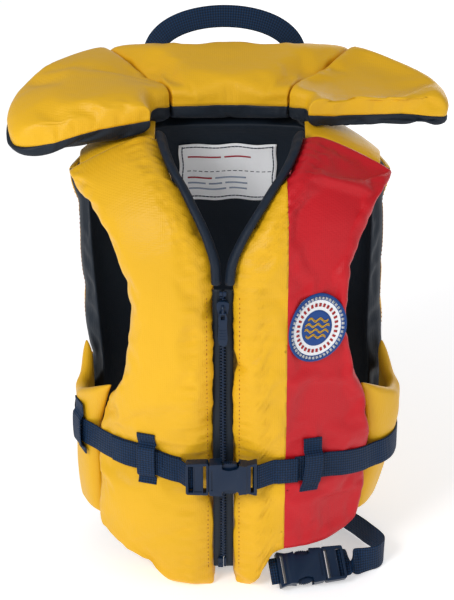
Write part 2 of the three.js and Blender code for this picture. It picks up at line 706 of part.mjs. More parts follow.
// depth runs from 0 on top to 1 underneath; the two fabric trays meet at the piping line
function addPillow(name, place, width, length) {
  const columns = 5;
  const rows = 6;
  const wall = EDGE;
  const grid = (margin, depth) => panelGrid(place, columns, rows, margin / width, margin / length, depth);
  const split = 0.62;
  const skin = 0.08;
  const clear = 0.04;
  add(`collar_${name}_cover`, layered(
    grid(0, 0), [rim(grid(0, split)), rim(grid(wall, split))], grid(wall, skin),
  ), 'yellow_nylon');
  add(`collar_${name}_underside`, layered(
    grid(0, 1), [rim(grid(0, split + clear)), rim(grid(wall, split + clear))], grid(wall, 1 - skin),
  ), 'navy_lining');
  add(`collar_${name}_foam`, layered(
    grid(wall + CORE_GAP, skin + clear), [], grid(wall + CORE_GAP, 1 - skin - clear),
  ), 'foam');
}

const WING_GAP = 3.5; // opens the seams, so that the pillows clear each other as they fold up
// how each pillow hangs: droop of its outer front corner, and how that fades towards the back
const FLAT = { droop: 0, from: 150, power: 1 };
const WINGS = {
  left: {
    side: 1,
    hang: { droop: 12, from: 150, power: 1 },
    inner: [[68, 22], [66, 38], [52, 56]],
    outer: [[150, 46], [188, 50], [180, 88], [146, 122], [114, 146]],
  },
  right: {
    side: -1,
    hang: { droop: 24, from: 100, power: 1.5 },
    inner: [[68, 8], [66, 32], [52, 56]],
    outer: [[150, -2], [189, 2], [186, 44], [164, 96], [114, 146]],
  },
};

function addCollar() {
  const { neckY, backY, seamNeckX, seamBackX } = COLLAR;
  addPillow('back', pillowPlace(
    [[-seamNeckX, neckY], [0, neckY + 3], [seamNeckX, neckY]],
    [[-seamBackX, backY - 4], [0, backY], [seamBackX, backY - 4]],
    FLAT,
  ), 90, 160);
  for (const [name, wing] of Object.entries(WINGS)) {
    const mirror = (points) => points.map(([x, y]) => [wing.side * (x + WING_GAP), y]);
    addPillow(name, pillowPlace(mirror(wing.inner), mirror(wing.outer), wing.hang), 95, 110);
  }
}

// ---- grab handle: webbing arch standing on the collar's back edge ----
const HANDLE = { x: -4, span: 138, rise: 48, y: 162, base: 418, tilt: 0.9, thick: 2.4 };

function addHandle() {
  const steps = 14;
  const stations = [];
  for (let k = 0; k <= steps; k += 1) {
    const angle = Math.PI * (k / steps);
    const x = HANDLE.x - (HANDLE.span / 2) * Math.cos(angle);
    const z = HANDLE.base + HANDLE.rise * Math.sin(angle) ** 0.8;
    stations.push({ at: vec(x, HANDLE.y, z), angle });
  }
  const frames = stations.map(({ at }, k) => {
    const before = stations[Math.max(k - 1, 0)].at;
    const after = stations[Math.min(k + 1, steps)].at;
    const along = after.clone().sub(before).normalize();
    const across = vec(0, 1, 0).applyAxisAngle(along, HANDLE.tilt);
    return { at, across, face: along.clone().cross(across) };
  });
  add('grab_handle', webbing(frames, WEB_WIDTH - 3, HANDLE.thick), 'navy_webbing');
}

addPanels();
addGusset('left', 1, ARMHOLE_LEFT);
addGusset('right', -1, ARMHOLE_RIGHT);
addShoulder('left', 1);
addShoulder('right', -1);
addBinding('left', 1);
addBinding('right', -1);
addZipper();
addBelt();
addKeepers();
addBuckle('waist', waistPlace, 1);
addCrotchStrap();
addLabel();
add('badge_patch', discOn(frontFace, BADGE.x, BADGE.z, BADGE.radius, BADGE.lift, BADGE.thick), 'badge');
addCollar();
addHandle();

jacket.position.set(...ORIGIN_SHIFT);
export default jacket;
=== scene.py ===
import math

import bmesh
import bpy
import numpy as np
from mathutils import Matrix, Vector
from mathutils.bvhtree import BVHTree


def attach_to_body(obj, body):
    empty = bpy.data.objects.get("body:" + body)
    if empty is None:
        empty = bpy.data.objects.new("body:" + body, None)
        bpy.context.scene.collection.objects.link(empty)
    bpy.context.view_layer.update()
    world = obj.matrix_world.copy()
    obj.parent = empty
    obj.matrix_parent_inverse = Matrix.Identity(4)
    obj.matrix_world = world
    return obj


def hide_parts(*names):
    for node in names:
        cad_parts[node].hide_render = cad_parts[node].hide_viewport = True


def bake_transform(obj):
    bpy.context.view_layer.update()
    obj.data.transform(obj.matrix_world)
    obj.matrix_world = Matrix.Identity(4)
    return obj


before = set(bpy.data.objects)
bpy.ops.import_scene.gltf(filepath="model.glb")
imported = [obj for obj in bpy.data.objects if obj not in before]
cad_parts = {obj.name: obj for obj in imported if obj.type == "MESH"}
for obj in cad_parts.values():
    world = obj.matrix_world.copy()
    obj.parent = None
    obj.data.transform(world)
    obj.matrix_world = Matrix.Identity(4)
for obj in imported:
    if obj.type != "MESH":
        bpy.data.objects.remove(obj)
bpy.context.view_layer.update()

MM = 0.001
SIDES = (("left", 1), ("right", -1))  # the wearer's sides, and the sign of X on each

# ---------------------------------------------------------------- driving dimensions, in mm
# Shapes are worked out in the pattern's own millimetres; ROW_SHIFT takes them to the row frame.
ROW_SHIFT = np.array([1.0, -28.7, 0.0])
FRONT_THICK = 33
BACK_THICK = 29
ROUNDNESS = 2.3
SHOULDER_DROP = 36
ZIP_X = -6
ZIP_Y = -89.5
ZIP_BOTTOM, ZIP_TOP = 22, 296
RED_SEAM_X = 48
BELT_Z = 124
WEB = 1.5
WEB_WIDTH = 25

SIDE_LEFT = [(0, 120), (35, 128), (93, 142), (130, 151), (160, 153), (200, 150), (300, 151), (405, 150)]
SIDE_RIGHT = [(0, 128), (60, 139), (110, 141), (160, 141), (210, 144), (300, 149), (405, 150)]
FRONT_PROFILE = [
    (97, 0), (101, 60), (98, 124), (105, 200), (100, 300), (86, 350), (58, 382), (24, 397), (-10, 403),
]
BACK_PROFILE = [(100, 0), (104, 60), (101, 124), (107, 200), (110, 300), (106, 350), (99, 382), (90, 400)]
NECK_EDGE = [(0, 10.3), (300, 10.3), (318, 11.5), (335, 17), (375, 41), (392, 56), (403, 66)]
ARMHOLE_LEFT = [
    (0, 114), (60, 120), (124, 128), (180, 122), (215, 112), (270, 107), (330, 113), (375, 128), (403, 142),
]
ARMHOLE_RIGHT = [
    (0, 112), (60, 122), (124, 124), (180, 112), (215, 98), (270, 92), (330, 104), (375, 124), (403, 142),
]
HEM_LEFT = [(0, 0), (20, 0), (26, 22), (34, 37), (70, 38), (96, 41), (140, 44)]
HEM_RIGHT = [(0, 0), (38, 0), (62, 17), (87, 30), (107, 40), (140, 44)]
HEM_BACK = [(0, 0), (62, 0), (100, 22), (140, 44)]
BACK_REACH = 1.31  # plan angle of the back panel's side edges, in radians
NUDGE = 0.02  # the small step either way that slopes are taken over


# ---------------------------------------------------------------- small maths
def profile(points):
    """A smooth curve through (x, y) points, monotone between them."""
    xs, ys = np.array(points, float).T
    slope = np.diff(ys) / np.diff(xs)
    tangent = np.concatenate([[slope[0]], np.zeros(len(xs) - 2), [slope[-1]]])
    a, b = slope[:-1], slope[1:]
    total = np.where(np.abs(a + b) < 1e-12, 1, a + b)
    tangent[1:-1] = np.where(a * b <= 0, 0, 2 * a * b / total)

    def at(x):
        x = np.clip(x, xs[0], xs[-1])
        i = np.clip(np.searchsorted(xs, x, side="right") - 1, 0, len(slope) - 1)
        width = xs[i + 1] - xs[i]
        t = (x - xs[i]) / width
        h = t * t * (3 - 2 * t)
        bend = tangent[i] * t * (1 - t) ** 2 - tangent[i + 1] * t * t * (1 - t)
        return ys[i] * (1 - h) + ys[i + 1] * h + width * bend

    return at


def smooth(x, low, high):
    t = np.clip((x - low) / (high - low), 0, 1)
    return t * t * (3 - 2 * t)


def bump(x, middle, width):
    """1 at the middle, falling smoothly to 0 at width away from it."""
    return 1 - smooth(np.abs(x - middle), 0, width)


def lerp(a, b, t):
    return a + (b - a) * t


def run_length(path):
    """The distance along a polyline, at each of its points."""
    return np.concatenate([[0], np.cumsum(np.linalg.norm(np.diff(path, axis=0), axis=1))])


def catmull_rom(points, u):
    """A uniform Catmull-Rom spline through points, at u counted in points from the first."""
    p = np.array(points, float)
    last = len(p) - 1
    i = np.minimum(u.astype(int), last - 1)
    w = (u - i)[..., None]
    p0, p1, p2, p3 = p[np.maximum(i - 1, 0)], p[i], p[i + 1], p[np.minimum(i + 2, last)]
    v0, v1 = (p2 - p0) / 2, (p3 - p1) / 2
    return (2 * p1 - 2 * p2 + v0 + v1) * w**3 + (3 * p2 - 3 * p1 - 2 * v0 - v1) * w**2 + v0 * w + p1


def spline_table(points, samples=1200):
    """The spline's points, evenly spaced by length."""
    raw = catmull_rom(points, np.linspace(0, len(points) - 1, samples))
    length = run_length(raw)
    even = np.linspace(0, length[-1], samples)
    return np.stack([np.interp(even, length, raw[:, k]) for k in range(raw.shape[1])], axis=1)


def grid(columns, rows):
    """Positions s and t, from 0 to 1, over a grid of cells."""
    s = np.linspace(0, 1, columns + 1)[:, None] * np.ones((1, rows + 1))
    t = np.ones((columns + 1, 1)) * np.linspace(0, 1, rows + 1)[None, :]
    return s, t


side_left, side_right = profile(SIDE_LEFT), profile(SIDE_RIGHT)


class TorsoFace:
    """The outside of the jacket's front or back: a superellipse plan along a middle profile."""

    def __init__(self, points, sign):
        self.table = spline_table(points)
        self.even = np.linspace(0, 1, len(self.table))
        self.sign = sign

    def at(self, v):
        v = np.clip(v, 0, 1)
        return np.interp(v, self.even, self.table[:, 0]), np.interp(v, self.even, self.table[:, 1])

    def row_at(self, z):
        return np.interp(z, self.table[:, 1], self.even)

    def half(self, phi, z):
        return np.where(phi > 0, side_left(z), side_right(z))

    def angle(self, x, z):
        half = self.half(x, z)
        return np.sign(x) * np.arcsin(np.minimum(np.abs(x) / half, 1) ** (ROUNDNESS / 2))

    def point(self, phi, v, depth):
        reach, z = self.at(v)
        top_reach, top_z = self.at(np.minimum(v + NUDGE, 1))
        low_reach, low_z = self.at(np.maximum(v - NUDGE, 0))
        along = np.hypot(top_reach - low_reach, top_z - low_z)
        drop = -(top_reach - low_reach) / along * smooth(v, 0, 0.5)
        half = self.half(phi, z) - 0.75 * depth
        power = 2 / ROUNDNESS
        x = half * np.sign(phi) * np.abs(np.sin(phi)) ** power
        fall = SHOULDER_DROP * np.clip((np.abs(x) - 60) / 85, 0, 1) ** 1.4
        y = self.sign * (reach - depth * np.sqrt(1 - drop * drop)) * np.abs(np.cos(phi)) ** power
        return np.stack(np.broadcast_arrays(x, y, z - depth * drop - fall * smooth(z, 290, 400)), axis=-1)


front_face = TorsoFace(FRONT_PROFILE, -1)
back_face = TorsoFace(BACK_PROFILE, 1)


# ---------------------------------------------------------------- materials
def material(name):
    m = bpy.data.materials.new(name)
    m.use_nodes = True
    tree = m.node_tree
    return m, tree, tree.nodes["Principled BSDF"]


def add_node(tree, kind, inputs=None, **settings):
    node = tree.nodes.new(kind)
    for key, value in settings.items():
        setattr(node, key, value)
    for key, value in (inputs or {}).items():
        if isinstance(value, bpy.types.NodeSocket):
            tree.links.new(value, node.inputs[key])
        else:
            node.inputs[key].default_value = value
    return node


def math_node(tree, operation, *values):
    return add_node(tree, "ShaderNodeMath", dict(enumerate(values)), operation=operation).outputs[0]


def shade_noise(tree, scale, low, high, detail=3.0):
    """A grey factor between low and high that wanders over the surface."""
    place = add_node(tree, "ShaderNodeTexCoord")
    cloud = add_node(tree, "ShaderNodeTexNoise", {
        "Vector": place.outputs["Object"], "Scale": scale, "Detail": detail,
    })
    spread = add_node(tree, "ShaderNodeMapRange", {
        "Value": cloud.outputs["Fac"], "From Min": 0.3, "From Max": 0.7, "To Min": low, "To Max": high,
    })
    return spread.outputs["Result"]


def tinted(tree, colour, factor):
    """The colour multiplied by a grey factor."""
    mix = add_node(tree, "ShaderNodeMix", {"Factor": 1.0}, data_type="RGBA", blend_type="MULTIPLY")
    mix.inputs["A"].default_value = (*colour, 1)
    tree.links.new(factor, mix.inputs["B"])
    return mix.outputs["Result"]


def weave_height(tree, thread):
    """Plain weave: crossed sine threads in all three object directions. thread is in metres."""
    place = add_node(tree, "ShaderNodeTexCoord")
    waves = []
    for direction in ("X", "Y", "Z"):
        waves.append(add_node(tree, "ShaderNodeTexWave", {
            "Vector": place.outputs["Object"], "Scale": 0.157 / thread, "Distortion": 0.4, "Detail": 1.0,
        }, wave_type="BANDS", bands_direction=direction).outputs["Fac"])
    return math_node(tree, "ADD", math_node(tree, "ADD", waves[0], waves[1]), waves[2])


def bump_node(tree, height, strength, distance, **inputs):
    """A normal from a height. distance is in metres."""
    return add_node(tree, "ShaderNodeBump", {
        "Height": height, "Strength": strength, "Distance": distance, **inputs,
    }).outputs["Normal"]


def nylon(name, colour, roughness, sheen, thread=0.0009, low=0.9):
    """Woven cloth. thread is its pitch in metres, and low how dark its darkest patches are."""
    m, tree, shader = material(name)
    shader.inputs["Roughness"].default_value = roughness
    shader.inputs["Sheen Weight"].default_value = sheen
    shader.inputs["Sheen Roughness"].default_value = 0.4
    shader.inputs["Specular IOR Level"].default_value = 0.3
    tree.links.new(tinted(tree, colour, shade_noise(tree, 9.0, low, 1.0)), shader.inputs["Base Color"])
    crinkle = shade_noise(tree, 55.0, 0.0, 1.0, 4.0)
    fine = bump_node(tree, weave_height(tree, thread), 0.25, 0.0002)
    broad = bump_node(tree, crinkle, 0.35, 0.0012, Normal=fine)
    tree.links.new(broad, shader.inputs["Normal"])
    return m


RIB_PITCH, YARN_PITCH = 2.3, 2.6


def ribbed(name, colour):
    """Webbing: ribs across the strap, from the strip's own 'along' and 'across' distances in mm."""
    m, tree, shader = material(name)
    shader.inputs["Roughness"].default_value = 0.62
    shader.inputs["Specular IOR Level"].default_value = 0.25
    along = add_node(tree, "ShaderNodeAttribute", attribute_name="along").outputs["Fac"]
    across = add_node(tree, "ShaderNodeAttribute", attribute_name="across").outputs["Fac"]
    rib_wave = math_node(tree, "SINE", math_node(tree, "MULTIPLY", along, 2 * math.pi / RIB_PITCH))
    yarn_wave = math_node(tree, "SINE", math_node(tree, "MULTIPLY", across, 2 * math.pi / YARN_PITCH))
    weave = math_node(tree, "MULTIPLY_ADD", yarn_wave, 0.8, rib_wave)
    # painted highlight and shade: the base colour follows the weave's height, lighter on the rib tops and
    # darker in the grooves between them
    lit = add_node(tree, "ShaderNodeMapRange", {
        "Value": weave, "From Min": -1.4, "From Max": 1.4, "To Min": 0.35, "To Max": 1.5,
    }).outputs["Result"]
    # the painted rib highlight and shade, times a random wear tone
    rib_shading_and_wear = math_node(tree, "MULTIPLY", lit, shade_noise(tree, 14.0, 0.85, 1.08))
    tree.links.new(tinted(tree, colour, rib_shading_and_wear), shader.inputs["Base Color"])
    tree.links.new(bump_node(tree, weave, 0.6, 0.0004), shader.inputs["Normal"])
    return m


def moulded(name, colour, roughness):
    m, tree, shader = material(name)
    shader.inputs["Coat Weight"].default_value = 0.03
    shader.inputs["Specular IOR Level"].default_value = 0.3
    tree.links.new(tinted(tree, colour, shade_noise(tree, 40.0, 0.88, 1.05)), shader.inputs["Base Color"])
    tree.links.new(shade_noise(tree, 120.0, roughness - 0.05, roughness + 0.08), shader.inputs["Roughness"])
    grain = bump_node(tree, shade_noise(tree, 900.0, 0, 1), 0.12, 0.0002)
    tree.links.new(grain, shader.inputs["Normal"])
    return m


def make_materials():
    return {
        "yellow": nylon("yellow_nylon", (0.83, 0.455, 0.010), 0.46, 0.03),
        "red": nylon("red_nylon", (0.56, 0.006, 0.014), 0.48, 0.03),
        "lining": nylon("navy_lining", (0.007, 0.014, 0.025), 0.55, 0.02, low=0.75),
        "binding": nylon("navy_binding", (0.005, 0.013, 0.028), 0.6, 0.02, low=0.8),
        "webbing": ribbed("navy_webbing", (0.0016, 0.0195, 0.060)),
        "plastic": moulded("navy_plastic", (0.0018, 0.0145, 0.044), 0.38),
        "label": nylon("label_cloth", (0.95, 0.97, 1.0), 0.75, 0.1, thread=0.0005, low=0.95),
        "print": nylon("label_print", (0.33, 0.40, 0.52), 0.8, 0.0, thread=0.0005),
        "thread_yellow": nylon("yellow_thread", (0.48, 0.17, 0.006), 0.6, 0.2, thread=0.0004),
        "thread_navy": nylon("navy_thread", (0.006, 0.02, 0.055), 0.6, 0.08, thread=0.0004),
        "badge_white": nylon("badge_white", (0.82, 0.84, 0.86), 0.6, 0.1, thread=0.0006, low=0.96),
        "badge_gold": nylon("badge_gold", (0.75, 0.42, 0.02), 0.6, 0.1, thread=0.0006, low=0.9),
        "print_red": nylon("print_red", (0.42, 0.02, 0.04), 0.6, 0.05, thread=0.0006, low=0.9),
        "badge_red": nylon("badge_red", (0.45, 0.02, 0.02), 0.6, 0.1, thread=0.0006, low=0.9),
        "badge_blue": nylon("badge_blue", (0.010, 0.060, 0.25), 0.6, 0.1, thread=0.0006, low=0.9),
    }


MATERIAL = make_materials()


# ---------------------------------------------------------------- meshes
def to_row(points):
    """Pattern millimetres to the row frame's metres."""
    return (np.asarray(points, float) + ROW_SHIFT) * MM


def link(name, data):
    """A new object in the scene."""
    obj = bpy.data.objects.new(name, data)
    bpy.context.scene.collection.objects.link(obj)
    return obj


def mesh_object(name, points, faces, mat):
    """points are in pattern millimetres."""
    mesh = bpy.data.meshes.new(name)
    mesh.from_pydata(to_row(points).tolist(), [], [list(map(int, f)) for f in faces])
    mesh.update()
    mesh.materials.append(MATERIAL[mat])
    mesh.polygons.foreach_set("use_smooth", [True] * len(mesh.polygons))
    return link(name, mesh)


def coordinates(mesh):
    co = np.empty(len(mesh.vertices) * 3)
    mesh.vertices.foreach_get("co", co)
    return co.reshape(-1, 3)


def points_of(obj):
    """The object's vertices in pattern millimetres."""
    return coordinates(obj.data) / MM - ROW_SHIFT


def set_points(obj, points):
    obj.data.vertices.foreach_set("co", to_row(points).astype(np.float32).ravel())
    obj.data.update()


def apply_modifiers(obj):
    dg = bpy.context.evaluated_depsgraph_get()
    baked = bpy.data.meshes.new_from_object(obj.evaluated_get(dg))
    obj.modifiers.clear()
    obj.data = baked
    return obj


def recalc(obj):
    bm = bmesh.new()
    bm.from_mesh(obj.data)
    bmesh.ops.recalc_face_normals(bm, faces=bm.faces)
    bm.to_mesh(obj.data)
    bm.free()
    return obj


def subdivide(obj):
    mod = obj.modifiers.new("subdivision", "SUBSURF")
    mod.levels = 1
    mod.render_levels = 1
    return apply_modifiers(obj)


def ring_faces(rings, count, base=0, closed=False):
    """Quads between neighbouring rings of count points each, and from the last to the first if closed."""
    faces = []
    for k in range(rings if closed else rings - 1):
        low, high = base + k * count, base + (k + 1) % rings * count
        faces += [(low + c, low + (c + 1) % count, high + (c + 1) % count, high + c) for c in range(count)]
    return faces


def end_caps(rings, count, base=0):
    """One face over the first ring and one over the last."""
    last = base + (rings - 1) * count
    return [tuple(range(base, base + count))[::-1], tuple(range(last, last + count))]


def attach(piece, body, slot, *nodes, fill=None):
    """Puts a piece on the body it rides on and hides the CAD parts it stands for. slot (the finish it would
    take) and fill (how full it is if padded) are not used.
    """
    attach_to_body(piece, body)
    if nodes:
        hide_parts(*nodes)


class Shell:
    """A closed padded shell: a front grid, wall rings and a back grid, with region tags per face."""

    def __init__(self):
        self.points = []
        self.faces = []
        self.tags = []

    def add(self, grid):
        start = sum(len(p) for p in self.points)
        shape = grid.shape[:-1]
        self.points.append(grid.reshape(-1, 3))
        return start + np.arange(int(np.prod(shape))).reshape(shape)

    def face(self, corners, tag):
        self.faces.append(corners)
        self.tags.append(tag)


def rim(index):
    """The (column, row) of each point round the edge of a grid, in order."""
    n, m = index.shape[0] - 1, index.shape[1] - 1
    cells = [(i, 0) for i in range(n)] + [(n, j) for j in range(m)]
    cells += [(i, m) for i in range(n, 0, -1)] + [(0, j) for j in range(m, 0, -1)]
    return cells


def build_shell(front, walls, back, front_tag, wall_tags, back_tag):
    """front and back are (n, m, 3) grids; walls are full grids too, of which only the rims are used."""
    shell = Shell()
    a, b = shell.add(front), shell.add(back)
    cells = rim(a)
    loops = [[a[c] for c in cells]]
    for wall in walls:
        ring = np.array([wall[c] for c in cells])
        loops.append(list(shell.add(ring)))
    loops.append([b[c] for c in cells])
    for i in range(a.shape[0] - 1):
        for j in range(a.shape[1] - 1):
            shell.face((a[i, j], a[i, j + 1], a[i + 1, j + 1], a[i + 1, j]), front_tag(i, j))
            shell.face((b[i, j], b[i + 1, j], b[i + 1, j + 1], b[i, j + 1]), back_tag)
    for k in range(len(loops) - 1):
        low, high = loops[k], loops[k + 1]
        for c in range(len(cells)):
            n = (c + 1) % len(cells)
            i = min(cells[c][0], a.shape[0] - 2)
            j = min(cells[c][1], a.shape[1] - 2)
            tag = wall_tags[k] if wall_tags[k] != "front" else front_tag(i, j)
            shell.face((low[c], low[n], high[n], high[c]), tag)
    shell.points = np.concatenate(shell.points)
    return shell, a, b, loops


SIM_FRAMES = 20
FABRIC = dict(
    quality=5, mass=0.15, tension_stiffness=14.0, compression_stiffness=14.0, shear_stiffness=4.0,
    bending_stiffness=0.08, use_pressure=True, uniform_pressure_force=4.0, pin_stiffness=4.0,
)


def inflate(obj, pinned, shrink=-0.05, cap=8.0):
    """Cloth simulation: the fabric swells between its pinned seams. No point moves more than cap mm."""
    start = points_of(obj)
    group = obj.vertex_groups.new(name="pinned")
    for value in np.unique(np.round(pinned, 2)):
        if value > 0:
            group.add([int(i) for i in np.nonzero(np.round(pinned, 2) == value)[0]], float(value), "REPLACE")
    mod = obj.modifiers.new("cloth", "CLOTH")
    cloth = mod.settings
    for key, value in FABRIC.items():
        setattr(cloth, key, value)
    cloth.shrink_min = shrink
    cloth.vertex_group_mass = "pinned"
    cloth.effector_weights.gravity = 0
    mod.collision_settings.use_collision = False
    scene = bpy.context.scene
    for number in range(1, SIM_FRAMES + 1):
        scene.frame_set(number)
    apply_modifiers(obj)
    scene.frame_set(1)
    moved = points_of(obj) - start
    length = np.linalg.norm(moved, axis=1, keepdims=True)
    set_points(obj, start + moved * np.minimum(1, cap / np.maximum(length, 1e-9)))
    obj.vertex_groups.clear()


GROOVE_HALF, GROOVE_DEPTH = 4, 1.3


def cut_at_seam(obj, seam_x):
    """Cuts the shell along an upright plane and sinks a narrow groove there."""
    bm = bmesh.new()
    bm.from_mesh(obj.data)
    place = Vector(((seam_x + ROW_SHIFT[0]) * MM, 0, 0))
    for offset in (-2.2, 0.0, 2.2):
        everything = list(bm.verts) + list(bm.edges) + list(bm.faces)
        plane = place + Vector((offset * MM, 0, 0))
        bmesh.ops.bisect_plane(bm, geom=everything, dist=1e-6, plane_co=plane, plane_no=(1, 0, 0))
    bm.normal_update()
    for v in bm.verts:
        away = abs(v.co.x - place.x) / MM
        front = -v.normal.y
        if away < GROOVE_HALF and front > 0.2:
            v.co += v.normal * (-GROOVE_DEPTH * MM * (1 - away / GROOVE_HALF) ** 1.5)
    bm.to_mesh(obj.data)
    bm.free()


CLOTH_THICK = 0.9


def split_by_tag(obj, tags, pieces, seam_x=None, edges=()):
    """Cuts one simulated shell into its fabric pieces, each a closed thin sheet.
    pieces: {tag: (name, material)}. With seam_x, the yellow fabric beyond that x is the red piece, and a
    groove marks the seam. edges are the lines where the fabric gathers: (line, reach, period, depth)."""
    order = sorted(set(tags))
    obj.data.materials.clear()
    for tag in order:
        obj.data.materials.append(MATERIAL["lining" if tag == "navy" else tag])
    obj.data.polygons.foreach_set("material_index", [order.index(t) for t in tags])
    subdivide(obj)
    if seam_x is not None:
        cut_at_seam(obj, seam_x)
    points = points_of(obj)
    if edges:
        normals = np.array([v.normal for v in obj.data.vertices])
        for edge, reach, period, depth in edges:
            points = pucker(points, normals, edge, reach, period, depth, len(edge) * 0.1)
        set_points(obj, points)
    kinds = [order[p.material_index] for p in obj.data.polygons]
    if seam_x is not None:
        middles = [points[list(p.vertices), 0].mean() for p in obj.data.polygons]
        kinds = ["red" if k == "yellow" and x > seam_x else k for k, x in zip(kinds, middles)]
    made = {}
    for tag, (name, mat) in pieces.items():
        chosen = [tuple(p.vertices) for p, t in zip(obj.data.polygons, kinds) if t == tag]
        used = sorted({v for f in chosen for v in f})
        number = {v: k for k, v in enumerate(used)}
        piece = mesh_object(name, points[used], [[number[v] for v in f] for f in chosen], mat)
        mod = piece.modifiers.new("cloth_thickness", "SOLIDIFY")
        mod.thickness = CLOTH_THICK * MM
        mod.offset = -1
        apply_modifiers(piece)
        made[tag] = piece
    bpy.data.objects.remove(obj)
    return made


# ---------------------------------------------------------------- torso panels
def front_place(side):
    """Positions on a front panel: s from the zipper to the armhole, t from hem to shoulder, depth into it."""
    neck = profile(NECK_EDGE)
    armhole = profile(ARMHOLE_LEFT if side > 0 else ARMHOLE_RIGHT)
    rise = profile(HEM_LEFT if side > 0 else HEM_RIGHT)

    def place(s, t, depth):
        bottom = front_face.row_at(rise(lerp(10, 120, s)))
        v = lerp(bottom, 1, t)
        _, z = front_face.at(v)
        inner = front_face.angle(ZIP_X * smooth(410 - z, 0, 110) + side * neck(z), z)
        outer = front_face.angle(side * armhole(z), z)
        return front_face.point(lerp(inner, outer, s**0.9), v, depth)

    return place


def back_place(s, t, depth):
    rise = profile(HEM_BACK)
    side = 2 * s - 1
    bottom = back_face.row_at(rise(np.abs(side) * 135))
    return back_face.point(side * BACK_REACH, lerp(bottom, 1, t), depth)


belt_front = profile([
    (-140, 136), (-80, 133), (-40, BELT_Z), (30, BELT_Z), (80, BELT_Z), (134, 117), (155, 117),
])


def belt_height(points, behind):
    """Height of the belt's middle at each point of the front, or of the back."""
    x = points[..., 0]
    if not behind:
        return belt_front(x)
    edge = np.where(x > 0, belt_front(155), belt_front(-140))
    return lerp(126, edge, np.clip(np.abs(x) / 145, 0, 1) ** 2)


EDGE_ROUND = 11  # how far in from a panel's edge its face rounds over
BELT_PINCH = 10  # half the height that the belt holds down


def panel_shell(name, place, cells, size, thick, behind, tag_of, wall_tag="front"):
    """A panel's shell before it swells, and the weights, from 0 to 1, that pin each of its points."""
    columns, rows = cells
    s, t = grid(columns, rows)
    near_s = np.minimum(s, 1 - s) * size[0]
    near_t = np.minimum(t, 1 - t) * size[1]
    over = [np.clip(EDGE_ROUND - near, 0, EDGE_ROUND) for near in (near_s, near_t)]
    rounded = EDGE_ROUND - np.sqrt(EDGE_ROUND**2 - np.clip(np.hypot(*over), 0, EDGE_ROUND) ** 2 + 1e-9)
    surface = place(s, t, 0.0)
    cinch = bump(surface[..., 2], belt_height(surface, behind), 34) * 4.5
    front = place(s, t, 1.5 + rounded * 0.8 + cinch)
    wall_depths = np.linspace(EDGE_ROUND * 0.8 + 4, thick - 2.5, 4)
    walls = [place(s, t, np.full_like(s, d)) for d in wall_depths]
    back = place(s, t, np.full_like(s, thick - 0.3))
    shell, a, b, loops = build_shell(front, walls, back, tag_of, [wall_tag] * 4 + ["lining"], "lining")
    obj = mesh_object(name, shell.points, shell.faces, "yellow")
    pinned = np.zeros(len(shell.points))
    pinned[b.ravel()] = 1
    for loop in loops[-2:]:
        pinned[loop] = 1
    return obj, shell, a, surface, pinned


def pucker(points, normals, edge, reach, period, depth, phase):
    """Small gathers beside a sewn edge (a polyline): the fabric dips between ridges that run away from it."""
    run = run_length(edge)
    for k, p in enumerate(points):
        nearest = int(np.argmin(((edge - p) ** 2).sum(axis=1)))
        away = np.linalg.norm(edge[nearest] - p)
        if away > reach or away < 1:
            continue
        u = run[nearest]
        wave = math.sin(2 * math.pi * u / period + 1.7 * math.sin(u / 31 + phase) + phase)
        wave += 0.5 * math.sin(2 * math.pi * u / (period * 0.61) + 2.3 * phase)
        amount = smooth(away, 1, 5) * (1 - smooth(away, 6, reach))
        points[k] = p + normals[k] * (depth * wave * amount)
    return points


PANEL_SLOTS = {"yellow": "yellow_nylon", "red": "red_nylon", "lining": "navy_lining"}


def finish_panel(obj, shell, pinned, pieces, seam_x=None, edges=(), **sim):
    """pieces: {tag: (name, CAD nodes)}"""
    inflate(obj, pinned, cap=7.0, **sim)
    names = {tag: (name, tag) for tag, (name, _) in pieces.items()}
    made = split_by_tag(obj, shell.tags, names, seam_x, edges)
    for tag, piece in made.items():
        attach(piece, "vest", PANEL_SLOTS[tag], *pieces[tag][1])
    return made


def make_front(side):
    left = side > 0
    columns, rows = 24, 88
    width, height = 100, 420
    place = front_place(side)
    obj, shell, a, surface, pinned = panel_shell(
        "front_shell", place, (columns, rows), (width, height), FRONT_THICK, False, lambda i, j: "yellow",
    )
    from_zipper = grid(columns, rows)[0] * width
    zip_seam = a[(from_zipper > 3) & (from_zipper < 8)]
    pinned[zip_seam] = np.maximum(pinned[zip_seam], 0.5)
    in_belt = np.abs(surface[..., 2] - belt_height(surface, False)) < BELT_PINCH
    pinned[a[in_belt]] = 0.9
    if left:
        red_seam = a[np.abs(surface[..., 0] - RED_SEAM_X) < 2.6]
        pinned[red_seam] = np.maximum(pinned[red_seam], 0.35)
        pieces = {
            "yellow": ("front_left_strip", ["front_left_strip_cover", "front_left_foam"]),
            "red": ("front_left_red_panel", ["front_left_red_cover"]),
            "lining": ("front_left_liner", ["front_left_lining"]),
        }
    else:
        pieces = {
            "yellow": ("front_right_panel", ["front_right_cover", "front_right_foam"]),
            "lining": ("front_right_liner", ["front_right_lining"]),
        }
    t = np.linspace(0.02, 0.97, 260)
    edges = [
        (place(np.full_like(t, 0.075), t, 1.5), 22, 10, 0.75),
        (place(np.full_like(t, 0.96), t, 2.5), 18, 19, 0.3),
        (place(np.linspace(0.05, 0.95, 120), np.full(120, 0.05), 2.0), 24, 17, 0.4),
    ]
    return finish_panel(obj, shell, pinned, pieces, RED_SEAM_X if left else None, edges, shrink=-0.04)


def make_back():
    columns, rows = 54, 60

    def tag_of(i, j):
        return "lining" if i in (0, columns - 1) else "yellow"

    obj, shell, a, surface, pinned = panel_shell(
        "back_shell", back_place, (columns, rows), (340, 415), BACK_THICK, True, tag_of, wall_tag="lining",
    )
    in_belt = np.abs(surface[..., 2] - belt_height(surface, True)) < BELT_PINCH
    pinned[a[in_belt]] = 0.9
    pieces = {
        "yellow": ("back_panel", ["back_cover", "back_foam"]),
        "lining": ("back_liner", ["back_lining"]),
    }
    return finish_panel(obj, shell, pinned, pieces)


